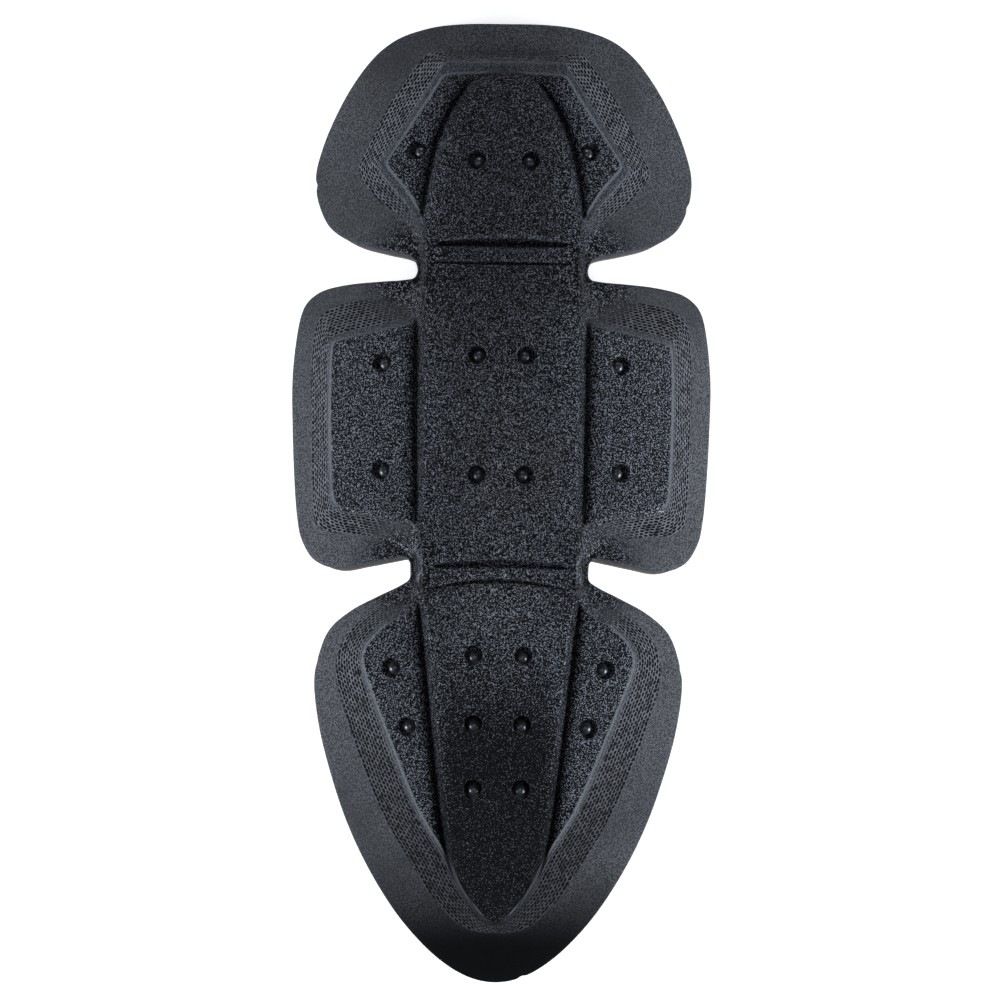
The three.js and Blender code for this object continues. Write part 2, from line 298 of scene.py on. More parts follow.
SECTIONS = (
    # edge x, y, crown x, y, foot, crease, from the top middle round to the tip
    Section((0, 124.8), (0, 111.8), 0.69, 0.77),
    Section((10, 124.7), (9.5, 111.5), 0.68, 0.77),
    Section((18, 123.9), (14.8, 111.1), 0.57, 0.74),
    Section((23.4, 122.5), (16.0, 110.6), 0.51, 0.86),
    Section((26.2, 121.5), (16.9, 109.2), 0.52, 0.89),
    Section((29.4, 119.8), (17.8, 107.8), 0.55, 0.90),
    Section((34.0, 116.0), (19.3, 105.4), 0.58, 0.91),
    Section((40.2, 107.6), (22.3, 100.7), 0.60, 0.92),
    Section((45.6, 96.8), (27.0, 93.4), 0.62, 0.92),
    Section((48.2, 89.3), (29.6, 89.5), 0.63, 0.92),
    Section((49.0, 85.7), (30.2, 88.3), 0.62, 0.89),
    Section((49.1, 82.4), (29.9, 87.0), 0.62, 0.87),
    Section((48.3, 77.5), (28.4, 85.2), 0.64, 0.87),
    Section((45.3, 71.3), (25.4, 81.6), 0.68, 0.88),
    Section((39.6, 67.5), (22.6, 77.4), 0.74, 0.90),
    Section((32, 65.5), (20.8, 73.6), 0.74, 0.90),
    Section((25.2, 64.1), (20.0, 69.0), 0.60, 0.84),
    Section((23.2, 62.9), (19.8, 64.8), 0.50, 0.80),
    Section((22.3, 60.4), (19.7, 60.4), 0.36, 0.70),
    Section((23.1, 58.5), (19.8, 56.3), 0.46, 0.74),
    Section((25.4, 57.9), (20.0, 51.6), 0.40, 0.80),
    Section((32.5, 57.3), (21.2, 47.4), 0.40, 0.88),
    Section((40, 56.5), (29.6, 45.0), 0.38, 0.91),
    Section((46.4, 55.0), (38.6, 42.8), 0.38, 0.91),
    Section((49.2, 53.4), (42.2, 41.8), 0.42, 0.91),
    Section((51.2, 51.3), (43.6, 41.0), 0.45, 0.91),
    Section((52.6, 48.0), (44.0, 39.2), 0.48, 0.92),
    Section((54.5, 34.0), (44.3, 30.0), 0.54, 0.94),
    Section((54.4, 18.0), (44.2, 17.0), 0.54, 0.94),
    Section((53.5, 1.0), (43.7, 4.8), 0.52, 0.93),
    Section((52.9, -4.6), (43.4, 1.6), 0.50, 0.92),
    Section((51.9, -9.5), (42.6, -0.2), 0.46, 0.91),
    Section((48.7, -14.9), (40.0, -1.2), 0.54, 0.91),
    Section((43.5, -17.2), (34.0, -2.1), 0.60, 0.91),
    Section((36, -16.2), (27.0, -3.5), 0.56, 0.90),
    Section((29.4, -15.0), (22.1, -5.8), 0.48, 0.86),
    Section((24.9, -14.4), (20.2, -10.0), 0.38, 0.78),
    Section((23.6, -15.3), (20.0, -14.2), 0.36, 0.74),
    Section((23.3, -17.5), (19.9, -17.8), 0.34, 0.70),
    Section((23.5, -19.8), (19.9, -21.4), 0.36, 0.72),
    Section((25.4, -21.3), (20.2, -25.2), 0.40, 0.80),
    Section((31.6, -24.4), (23.4, -28.4), 0.42, 0.86),
    Section((38.6, -28.2), (29.0, -31.8), 0.46, 0.88),
    Section((44.2, -33.2), (33.5, -36.4), 0.47, 0.91),
    Section((46.9, -39.8), (35.0, -40.0), 0.46, 0.93),
    Section((48.0, -46.0), (34.2, -44.6), 0.46, 0.94),
    Section((46.8, -57.5), (30.7, -53.8), 0.49, 0.94),
    Section((43.6, -70.2), (25.9, -66.0), 0.51, 0.94),
    Section((38.9, -83.8), (20.0, -79.8), 0.54, 0.95),
    Section((32.4, -97.0), (12.8, -91.6), 0.56, 0.95),
    Section((24.2, -109.2), (8.9, -99.6), 0.60, 0.95),
    Section((14.6, -118.9), (5.0, -105.0), 0.66, 0.95),
    Section((6.8, -123.5), (2.4, -107.7), 0.78, 0.95),
    Section((0, -124.8), (0, -108.7), 0.85, 0.95),
)


@dataclass(frozen=True)
class Contours:
    """The four closed plan lines of the guard, stepped alike, anticlockwise."""

    edge: Array
    foot: Array
    crease: Array
    crown: Array

    @classmethod
    def stepped(cls, step: float) -> "Contours":
        """Draws the lines through the sections and both halves.

        Args:
            step: largest way between two places on the edge or the crown.

        Returns:
            The four lines, with their places at equal steps of the longer of edge and crown.
        """
        shares = {
            "edge": lambda section: 0.0,
            "foot": lambda section: section.foot,
            "crease": lambda section: section.crease,
            "crown": lambda section: 1.0,
        }
        edge = np.array([section.edge for section in SECTIONS], float)
        crown = np.array([section.crown for section in SECTIONS], float)
        loops = {}
        for name, share_of in shares.items():
            share = np.array([share_of(section) for section in SECTIONS])[:, None]
            right = edge * (1 - share) + crown * share
            left = right[1:-1] * (-1.0, 1.0)
            loops[name] = np.vstack([right[::-1], left])
        count = len(edge) * 2 - 2
        fine = np.linspace(0, count, count * FINE_LOOP_SPANS, endpoint=False)
        walked = np.maximum(*[
            np.linalg.norm(np.roll(line, -1, axis=0) - line, axis=1)
            for line in (spline(loops["edge"], fine, True), spline(loops["crown"], fine, True))
        ])
        way = np.concatenate([[0.0], np.cumsum(walked)])
        places = round(way[-1] / step)
        parameter = np.interp(np.arange(places) * way[-1] / places, way, np.append(fine, count))
        return cls(**{name: spline(loop, parameter, True) for name, loop in loops.items()})


@dataclass(frozen=True)
class Spine:
    """The raised tongue down the middle, by the edge of its flat top on the right half."""

    rise: float = 1.1
    wall: float = 2.0
    edge_round: float = 0.22
    line_step: float = 1.5
    outline: tuple[Pair, ...] = (
        (0, 110.8), (4.0, 110.3), (6.8, 108.6), (10, 104.8), (12.5, 100.2), (14.5, 95.6), (16, 90.8),
        (17.2, 86), (18.2, 81), (18.9, 76), (19.5, 71), (19.9, 66), (20.0, 57), (20.0, 20), (20.0, -12),
        (19.9, -20), (19.3, -26), (18.4, -32), (17.6, -38), (16.9, -45), (16, -55), (14.8, -65),
        (13.8, -74), (12.9, -82), (11.5, -90), (9.5, -97), (7, -102), (4, -106.5), (0, -108.7),
    )

    def line(self) -> Array:
        """The flat top's edge, stepped."""
        return stepped_line(np.array(self.outline, float), self.line_step)

    def share(self, plan: Array) -> Array:
        """Share of the spine's full rise.

        Args:
            plan: plan points.

        Returns:
            One on the flat top, and a straight fall to zero across the wall, with rounded meetings.
        """
        beyond, _ = line_offset(right_half(plan), self.line())
        fall = eased_ramp(beyond, self.edge_round) - eased_ramp(beyond - self.wall, self.edge_round)
        return 1.0 - fall / self.wall


@dataclass(frozen=True)
class Groove:
    """A groove beside the spine, by points and depths of the right half from the top down."""

    points: tuple[tuple[float, float, float], ...]
    spine: Spine = Spine()
    line_step: float = 1.5
    least_width: float = 0.6
    outer_wall: float = 0.8
    shoulder: float = 3.2
    shoulder_share: float = 0.4
    shoulder_power: float = 1.5

    def line(self, step: float) -> Array:
        """The groove's floor line, stepped."""
        return stepped_line(np.array(self.points, float)[:, :2], step)

    def cut(self, plan: Array) -> Array:
        """Cuts the groove.

        A straight wall falls from the spine's edge to the floor line. Beyond the line a short steep
        wall takes part of the depth back and a long soft shoulder the rest.

        Args:
            plan: plan points.

        Returns:
            Depth at each point.
        """
        rows = np.array(self.points, float)
        line = self.line(self.line_step)
        offset, along = line_offset(right_half(plan), line)
        way = np.concatenate([[0.0], np.cumsum(np.linalg.norm(np.diff(line, axis=0), axis=1))])
        width = np.interp(along, way, line_offset(line, self.spine.line())[0])
        width = np.maximum(width, self.least_width)
        depth = np.interp(-line[:, 1], -rows[:, 1], rows[:, 2])
        depth = np.interp(along, way, depth)
        inward = np.maximum(-offset, 0.0)
        wall = 1.0 - (inward - eased_ramp(inward - width, self.spine.edge_round)) / width
        steep = 1 - smoothstep(0.0, self.outer_wall, offset)
        soft = (1 - smoothstep(0.0, self.shoulder, offset)) ** self.shoulder_power
        outer_side = (1 - self.shoulder_share) * steep + self.shoulder_share * soft
        return depth * np.where(offset < 0, np.maximum(wall, 0.0), outer_side)


@dataclass(frozen=True)
class HingeCrease:
    """A crease across the spine, whose ends lie lower than its middle."""

    y: float
    ends: float
    half: float
    width: float
    depth: float
    end_share: float = 0.42
    middle_gain: float = 0.58
    roundness: float = 1.5
    end_fade: float = 2.0
    lip_share: float = 0.35
    lip_width: float = 0.45
    near_fade: Pair = (2.0, 6.0)

    def offset(self, plan: Array) -> tuple[Array, Array]:
        """Measures from the crease's middle line, which drops with the square of the way from x = 0.

        Args:
            plan: plan points.

        Returns:
            Way above the middle line, and the crease's half width there, by a cosine of the same way.
        """
        share = np.clip(plan[:, 0] / self.half, -1.0, 1.0)
        narrowed = self.end_share + self.middle_gain * np.cos(share * math.pi / 2)
        return plan[:, 1] - (self.y - self.ends * share ** 2), self.width / 2 * narrowed

    def cut(self, plan: Array) -> Array:
        """Cuts a round-bottomed furrow that fades out at both ends.

        Args:
            plan: plan points.

        Returns:
            Depth at each point: one less the square of the way to the side, to a power.
        """
        offset, half_width = self.offset(plan)
        across = np.clip(1 - (offset / half_width) ** 2, 0.0, 1.0) ** self.roundness
        return self.depth * across * self._fade(plan)

    def lip(self, plan: Array) -> Array:
        """Share of the painted highlight on the lip just beyond either side: a bell on the way to the
        furrow's side.
        """
        offset, half_width = self.offset(plan)
        bell = np.exp(-((np.abs(offset) - half_width) / self.lip_width) ** 2)
        return self.lip_share * self.depth * bell * self._fade(plan)

    def near(self, plan: Array) -> Array:
        """Share of the rough ground round the crease: one at it, and zero a few millimetres off."""
        offset, _ = self.offset(plan)
        return (1 - smoothstep(*self.near_fade, np.abs(offset))) * self._fade(plan)

    def _fade(self, plan: Array) -> Array:
        """One, and down to zero over the last few millimetres at both ends."""
        return 1 - smoothstep(self.half - self.end_fade, self.half, np.abs(plan[:, 0]))


@dataclass(frozen=True)
class Dimple:
    """A round blind hole square to the dome, with a nub on its floor, on both halves."""

    x: float
    y: float
    radius: float = 2.5
    depth: float = 2.0
    wall_fade: Pair = (0.84, 1.05)
    nub_radius: float = 1.75
    nub_height: float = 1.7
    nub_fade: Pair = (0.8, 1.05)
    nub_shift: Pair = (-0.32, -0.30)

    def radii(self, plan: Array, shift: Pair = (0.0, 0.0)) -> Array:
        """Distance to the dimple's middle along the dome, on whichever half the point lies.

        The plan way to the middle and the height that the tilted dome has over that way make it.

        Args:
            plan: plan points.
            shift: how far the middle is moved, away from the guard's middle line and up it.

        Returns:
            One distance for each point.
        """
        normal = Dome().normal(np.array(self.x), np.array(self.y))
        way = right_half(plan) - (self.x + shift[0], self.y + shift[1])
        height = (way @ normal[:2]) / normal[2]
        return np.sqrt(way[:, 0] ** 2 + way[:, 1] ** 2 + height ** 2)

    def cut(self, plan: Array) -> Array:
        """Cuts a steep wall and a flat floor, less the nub's round cap.

        Args:
            plan: plan points.

        Returns:
            Depth at each point. The cap is the root of one less the square of the way from its middle.
        """
        hole = 1 - smoothstep(*(share * self.radius for share in self.wall_fade), self.radii(plan))
        share = self.radii(plan, self.nub_shift) / self.nub_radius
        cap = np.sqrt(np.clip(1 - share ** 2, 0.0, 1.0))
        return self.depth * hole - self.nub_height * cap

    def nub(self, plan: Array) -> Array:
        """One on the nub, and zero off it."""
        radius = self.radii(plan, self.nub_shift)
        return 1 - smoothstep(*(share * self.nub_radius for share in self.nub_fade), radius)


@dataclass(frozen=True)
class Relief:
    """Rises over the brim, and what is cut into the crown."""

    crease_rise: float = 4.45
    crown_rise: float = 5.2
    ledge_rise: float = 0.42
    ledge_width: float = 0.55
    spine: Spine = Spine()
    foot_round: float = 1.0
    foot_room: float = 0.5
    crease_round: float = 0.22
    crease_room: float = 0.4
    crown_round: float = 0.3
    crown_room: float = 0.6
    crease_nick: float = 0.25
    nick_place: float = 0.75
    nick_width: float = 0.28
    necks: tuple[Pair, ...] = ((22.3, 60.4), (23.3, -17.5))
    neck_fade: Pair = (7.0, 17.0)
    collar_middle: Pair = (24.5, -16.5)
    collar_radius: float = 4.5
    collar_width: float = 0.9
    collar_rise: float = 0.25
    collar_end: Pair = (-1.0, 2.0)
    grooves: tuple[Groove, ...] = (
        # x, y, depth
        Groove(((0, 111.5, 0.4), (4.4, 111.0, 0.5), (8.4, 109.6, 1.0), (11.0, 106.6, 1.9),
                (13.6, 102.9, 2.2), (17.4, 94.4, 2.2), (19.6, 85.4, 2.2), (21.0, 74.9, 1.6))),
        Groove(((22.4, 46.6, 1.4), (22.4, 42, 2.2), (22.3, 20, 2.2), (21.8, 0, 2.2),
                (21.6, -4.8, 1.4))),
        Groove(((20.8, -26.6, 1.6), (20.2, -33, 2.2), (19.5, -40, 2.2), (17.6, -57, 2.2),
                (15.6, -75, 2.2), (13.6, -88, 2.0), (10.7, -97.4, 1.0))),
    )
    creases: tuple[HingeCrease, ...] = (
        # y, drop of the ends, half length, width, depth
        HingeCrease(67.6, 0.4, 17.5, 3.2, 1.7),
        HingeCrease(62.3, 0.0, 18.5, 1.3, 0.9),
        HingeCrease(-15.6, 0.9, 17.8, 3.0, 1.2),
        HingeCrease(-20.0, 2.4, 18.0, 1.5, 1.0),
    )
    dimples: tuple[Dimple, ...] = (
        # x, y; the nubs of the last three sit low in their holes
        Dimple(7.0, 89.2), Dimple(22.4, 91.6), Dimple(6.4, 38.6), Dimple(6.2, 7.6),
        Dimple(31.1, 36.2), Dimple(31.1, 8.4), Dimple(27.8, -42.9), Dimple(23.6, -58.2),
        *(Dimple(x, y, nub_shift=(-0.15, -0.75)) for x, y in ((6.5, -39.4), (6.4, -57.4), (6.3, -74.2))),
    )

    def slope(self, way: Array, foot: Array, crease: Array, crown: Array) -> Array:
        """Rise on the way from the edge: brim, slope and bevel, with rounded meetings.

        Args:
            way: how far a point lies from the edge.
            foot, crease, crown: how far those lines lie from the edge there.

        Returns:
            Two straight ramps and a small ledge, each the difference of two eased ramps, less a bell
            that nicks the slope just under the crease.
        """
        first = self.crease_rise / (crease - foot)
        second = (self.crown_rise - self.crease_rise - self.ledge_rise) / (crown - crease)
        ledge = self.ledge_rise / self.ledge_width
        foot_round = np.minimum(self.foot_round, self.foot_room * np.minimum(crease - foot, foot))
        crease_round = np.minimum(self.crease_round, self.crease_room * (crown - crease))
        crown_round = np.minimum(self.crown_round, self.crown_room * (crown - crease))
        ramp_foot = eased_ramp(way - foot, foot_round)
        ramp_crease = eased_ramp(way - crease, crease_round)
        ramp_crown = eased_ramp(way - crown, crown_round)
        ramp_ledge = eased_ramp(way - crown + self.ledge_width, self.crease_round)
        ledge_end = eased_ramp(way - crown, self.crease_round)
        nick = self.crease_nick * np.exp(-((way - crease + self.nick_place) / self.nick_width) ** 2)
        return (first * (ramp_foot - ramp_crease) + second * (ramp_crease - ramp_crown)
                + ledge * (ramp_ledge - ledge_end) - nick)

    def neck(self, plan: Array) -> Array:
        """One round the ends of the notches, where grain takes the net's place, and zero beyond."""
        gaps = [np.hypot(*(right_half(plan) - place).T) for place in self.necks]
        return 1 - smoothstep(*self.neck_fade, np.min(gaps, axis=0))

    def collar(self, plan: Array) -> Array:
        """Share of the low ring round the end of each lower notch.

        Args:
            plan: plan points.

        Returns:
            A bell on the way to the ring's circle, kept on the side of the spine.
        """
        gap = np.hypot(*(right_half(plan) - self.collar_middle).T) - self.collar_radius
        spine_side = 1 - smoothstep(*self.collar_end, np.abs(plan[:, 0]) - self.collar_middle[0])
        return np.exp(-(gap / self.collar_width) ** 2) * spine_side

    def grooved(self, plan: Array) -> Array:
        """Depth of the grooves at plan points."""
        return np.max([groove.cut(plan) for groove in self.grooves], axis=0)

    def creased(self, plan: Array) -> Array:
        """Depth of the hinge creases at plan points."""
        return np.max([crease.cut(plan) for crease in self.creases], axis=0)

    def lips(self, plan: Array) -> Array:
        """Share of the painted highlight on the rough lips of the hinge creases, and zero off them."""
        return np.max([crease.lip(plan) for crease in self.creases], axis=0)

    def hinged(self, plan: Array) -> Array:
        """One on the spine round the hinge creases, and zero beyond a few millimetres."""
        return np.max([crease.near(plan) for crease in self.creases], axis=0)

    def holes(self, plan: Array) -> Array:
        """Depth of all dimples at plan points."""
        return np.max([dimple.cut(plan) for dimple in self.dimples], axis=0)

    def nubs(self, plan: Array) -> Array:
        """One on the nubs in the dimples."""
        return np.max([dimple.nub(plan) for dimple in self.dimples], axis=0)


# Meshes

@dataclass
class Sheets:
    """Vertices and faces of a mesh that grows by rings and filled areas."""

    points: list[Array] = field(default_factory=list)
    faces: list[Array] = field(default_factory=list)
    values: dict[str, list[Array]] = field(default_factory=dict)
    count: int = 0

    def add(self, points: Array, **values: Array) -> Array:
        """Adds vertices with their point values.

        Args:
            points: the vertices.
            values: a value or one value for each vertex, by the name of its point attribute.

        Returns:
            The vertices' numbers.
        """
        self.points.append(points)
        for name, column in values.items():
            self.values.setdefault(name, []).append(np.broadcast_to(column, len(points)))
        numbers = np.arange(self.count, self.count + len(points))
        self.count += len(points)
        return numbers

    def bridge(self, lower: Array, upper: Array) -> None:
        """Joins two anticlockwise rings of as many vertices by quads that face away from the inside."""
        after_lower, after_upper = np.roll(lower, -1), np.roll(upper, -1)
        self.faces.append(np.stack([lower, after_lower, after_upper, upper], axis=1))

    def fill(self, triangles: Array, turned: bool = False) -> None:
        """Adds triangles, anticlockwise from above, or turned round."""
        self.faces.append(triangles[:, ::-1] if turned else triangles)

    def mesh_object(self, name: str) -> bpy.types.Object:
        """Writes the mesh in metres, with smooth faces and a point attribute for each value.

        Args:
            name: the object's and the mesh's name.

        Returns:
            The object, linked to the scene.
        """
        mesh = bpy.data.meshes.new(name)
        points = np.concatenate(self.points) * MM
        corners = np.concatenate([faces.ravel() for faces in self.faces]).astype(np.int32)
        sizes = np.concatenate([np.full(len(faces), faces.shape[1]) for faces in self.faces])
        starts = np.concatenate([[0], np.cumsum(sizes)[:-1]]).astype(np.int32)
        mesh.vertices.add(len(points))
        mesh.vertices.foreach_set("co", points.astype(np.float32).ravel())
        mesh.loops.add(len(corners))
        mesh.loops.foreach_set("vertex_index", corners)
        mesh.polygons.add(len(sizes))
        mesh.polygons.foreach_set("loop_start", starts)
        mesh.polygons.foreach_set("use_smooth", np.ones(len(sizes), bool))
        mesh.update(calc_edges=True)
        for value_name, columns in self.values.items():
            attribute = mesh.attributes.new(value_name, "FLOAT", "POINT")
            attribute.data.foreach_set("value", np.concatenate(columns).astype(np.float32))
        mesh.validate()
        piece = bpy.data.objects.new(name, mesh)
        bpy.context.scene.collection.objects.link(piece)
        return piece


def plan_fill(ring: Array, inner: Array) -> Array:
    """Triangles between a ring and loose points in it.

    Args:
        ring: plan points of the closed line round the area.
        inner: plan points inside it.

    Returns:
        Triangles, anticlockwise, numbered through the ring and then the inner points.
    """
    points = np.vstack([ring, inner])
    count = len(ring)
    edges = [(index, (index + 1) % count) for index in range(count)]
    coordinates = [Vector(point) for point in points.tolist()]
    made, _, triangles, origins, _, _ = delaunay_2d_cdt(coordinates, edges, [], 1, 1e-7)
    source = np.array([origin[0] if origin else -1 for origin in origins])
    filled = source[np.array(triangles)]
    a, b, c = (points[filled[:, corner]] for corner in range(3))
    area = (b[:, 0] - a[:, 0]) * (c[:, 1] - a[:, 1]) - (b[:, 1] - a[:, 1]) * (c[:, 0] - a[:, 0])
    return np.where(area[:, None] > 0, filled, filled[:, ::-1])


def plan_lattice(ring: Array, step: float, margin: float) -> Array:
    """A staggered lattice of plan points inside a ring.

    Args:
        ring: plan points of the closed line.
        step: way from one point to the next in a row; the rows lie half the root of three as far apart.
        margin: least distance to the ring.

    Returns:
        The points, row by row.
    """
    low, high = ring.min(axis=0), ring.max(axis=0)
    rows = np.arange(low[1], high[1], step * math.sqrt(3) / 2)
    columns = np.arange(low[0], high[0] + step, step)
    grid_x, grid_y = np.meshgrid(columns, rows)
    grid_x = grid_x + (np.arange(len(rows)) % 2)[:, None] * step / 2
    return clear_of_ring(np.stack([grid_x.ravel(), grid_y.ravel()], axis=1), ring, margin)


def clear_of_ring(points: Array, ring: Array, margin: float) -> Array:
    """The points that lie in a ring and at least a margin from it."""
    points = points[inside_ring(points, ring)]
    return points[ring_distance(points, ring) > margin]


@dataclass(frozen=True)
class Painting:
    """Numbers by which the painted zones follow the relief; pairs are the ends of eased shares.

    Among the zones are painted shade in the hollows and painted highlights on the edges.
    """

    open_rise: Pair = (0.35, 0.95)
    collar_rise: Pair = (0.2, 0.6)
    groove_full: float = 1.2
    groove_free: float = 0.25
    crease_full: float = 0.8
    hole_shade: float = 0.35
    wall_shade: float = 2.8
    seam_start: Pair = (0.72, 0.86)
    seam_end: Pair = (0.94, 1.0)
    seam_shade: float = 0.95
    # Painted highlight on the collars
    collar_highlight: float = 0.8
    # Painted shade of pits round the hinge creases
    hinge_pit_shade: float = 0.6
    wide_slope: Pair = (0.5, 1.0)
    wide_bevel: Pair = (1.8, 2.6)
    side_facing: Pair = (0.30, 0.75)
    top_panel: Pair = (90.0, 100.0)
    middle_panel_start: Pair = (36.0, 40.0)
    middle_panel_end: Pair = (47.0, 51.0)
    middle_panel_share: float = 0.75
    tight_slope: Pair = (3.0, 6.0)
    net_start: Pair = (-0.5, -0.1)
    net_end: Pair = (-0.15, 0.05)
    bevel_start: Pair = (-0.1, 0.2)
    bevel_end: Pair = (-0.7, -0.4)
    # Painted highlight along the crown's edge, and its width along the crease
    ridge_start: Pair = (-0.6, -0.35)
    ridge_end: Pair = (-0.1, 0.2)
    crease_highlight: float = 0.35
    grain_start: Pair = (0.0, 0.3)


@dataclass
class MouldedShell:
    """The outer foam shell, one piece, with all of its relief."""

    dome: Dome
    relief: Relief
    painting: Painting = Painting()
    thickness: float = 3.5
    lip: float = 0.6
    step: float = 0.75
    first_row: float = 0.5
    crown_step: float = 0.9
    crown_margin: float = 0.42
    lattice_margin: float = 0.55
    least_gap: float = 0.2
    under_step: float = 6.0
    under_margin: float = 2.0
    nicks: tuple[Pair, ...] = ((-49.1, 82.2), (48.5, 77.2), (-48.3, -41.5), (48.3, -42.6), (7.0, -123.2))
    nick_depth: float = 0.4
    nick_width: float = 0.9
    brim_rows: tuple[float, ...] = (0.0, 0.14, 0.3, 0.46, 0.6, 0.72, 0.82, 0.9, 0.96)
    slope_rows: tuple[float, ...] = (0.0, 0.05, 0.11, 0.19, 0.3, 0.43, 0.57, 0.71, 0.84, 0.93)
    bevel_rows: tuple[float, ...] = (0.0, 0.14, 0.36, 0.58, 0.72, 0.8, 0.88, 0.94)
    crown_rows: tuple[float, ...] = (0.0, 0.5, 1.0)
    dimple_rings: tuple[tuple[float, int], ...] = (
        # share of the radius, points
        (1.25, 24), (1.08, 28), (1.0, 28), (0.92, 28), (0.84, 26),
        (0.74, 22), (0.64, 20), (0.52, 16), (0.36, 12), (0.18, 6),
    )
    dimple_clear: float = 1.4
    groove_step: float = 0.6
    groove_wall_rows: tuple[float, ...] = (-1.35, -1.14, -1.0, -0.86, -0.6, -0.35, -0.14)
    groove_shoulder_rows: tuple[float, ...] = (0.0, 0.2, 0.42, 0.65, 0.95, 1.5, 2.3)
    groove_clear: Pair = (-3.2, 2.8)
    crease_step: float = 0.75
    crease_rows: tuple[float, ...] = (-1.15, -0.85, -0.55, -0.28, 0.0, 0.28, 0.55, 0.85, 1.15)
    crease_clear: float = 0.45
    crease_end_clear: float = 0.4
    lip_turns: tuple[float, ...] = (60.0, 35.0, 12.0)
    cut_rows: tuple[Pair, ...] = ((0.0, -0.9), (0.0, -1.7), (0.0, -2.5), (-0.06, -3.1), (-0.28, -3.5))
    cut_start: Pair = (0.3, 0.9)

    def build(self) -> bpy.types.Object:
        """Builds the shell: the crown's field, the rings round it, the cut edge and the underside."""
        lines = Contours.stepped(self.step)
        outward = outward_of(lines.edge)
        gaps = np.min([np.hypot(*(lines.edge - nick).T) for nick in self.nicks], axis=0)
        trimmed = self.nick_depth * np.exp(-(gaps / self.nick_width) ** 2)
        lines = replace(lines, edge=lines.edge - outward * trimmed[:, None])
        sheets = Sheets()
        rings, inner_line = self._slope_rings(sheets, lines, outward)
        self._crown(sheets, rings[-1], inner_line)
        self._edge_and_underside(sheets, rings[0], lines.edge, outward)
        piece = sheets.mesh_object("moulded_shell_foam")
        LOG.info("shell: %d vertices, %d faces", len(piece.data.vertices), len(piece.data.polygons))
        return piece

    def dress(self, piece: bpy.types.Object) -> None:
        """Gives the built shell its finish."""
        ShellFinish().dress(piece)

    def _outer_face(self, sheets: Sheets, plan: Array, rise: Array, along: Array, up: Array,
                    **zones: Array) -> Array:
        """Adds vertices of the outer face, with their painted zones.

        The level is the rise of the slope, plus the spine by the cube of the slope's share, less the
        deeper of groove and crease, plus the collars. Holes go down square to the dome. Painted shade in
        the hollows takes the largest of the shares that groove, crease, hole, spine wall, seam and
        shade give.

        Args:
            sheets: the mesh that grows.
            plan: plan places of the vertices.
            rise: rise of the slope over the brim there.
            along, up: place on the net's own map.
            zones: shares of net, bevel, painted edge highlight, grain and painted shade, each nought
            where it isn't given.

        Returns:
            The vertices' numbers.
        """
        relief, paint = self.relief, self.painting
        share = np.clip(rise / relief.crown_rise, 0.0, 1.0)
        open_share = smoothstep(*paint.open_rise, share)
        groove, crease = relief.grooved(plan) * open_share, relief.creased(plan) * open_share
        hole, neck, tongue = relief.holes(plan), relief.neck(plan), relief.spine.share(plan)
        collar = relief.collar(plan) * smoothstep(*paint.collar_rise, share)
        level = rise + relief.spine.rise * tongue * share ** 3
        level = level - np.maximum(groove, crease) + relief.collar_rise * collar
        points = self.dome.place(plan, np.maximum(level, 0.0))
        points = points - self.dome.normal(plan[:, 0], plan[:, 1]) * hole[:, None]
        # Painted shade on the spine's wall, along its seam and in the cut hollows
        wall = paint.wall_shade * tongue * (1 - tongue) * open_share
        past_seam = smoothstep(*paint.seam_end, tongue)
        seam = smoothstep(*paint.seam_start, tongue) * (1 - past_seam) * open_share
        shade = np.broadcast_to(zones.get("shade", 0.0), len(plan))
        cavity = np.max([groove / paint.groove_full - paint.groove_free, crease / paint.crease_full,
                         paint.hole_shade * hole, wall, paint.seam_shade * seam, shade], axis=0)
        # Painted highlights: on the crown's edge, on the creases' lips and on the collars
        ridge_highlight = zones.get("ridge_highlight", 0.0) * (1 - neck)
        ridge_highlight = np.max([ridge_highlight, relief.lips(plan) * open_share, paint.collar_highlight * collar], axis=0)
        return sheets.add(points, **{
            Zone.NET.value: zones.get("net", 0.0) * (1 - neck),
            Zone.GRAIN.value: np.maximum(zones.get("grain", 0.0), neck),
            Zone.CAVITY.value: np.clip(cavity, 0.0, 1.0) * (1 - collar),
            Zone.NUB.value: relief.nubs(plan),
            Zone.CUT.value: 0.0,
            Zone.BEVEL.value: zones.get("bevel", 0.0) * (1 - neck),
            Zone.RIDGE.value: ridge_highlight,
            Zone.NECK.value: np.maximum(neck, paint.hinge_pit_shade * relief.hinged(plan) * open_share),
            NET_ALONG: along,
            NET_UP: up,
        })

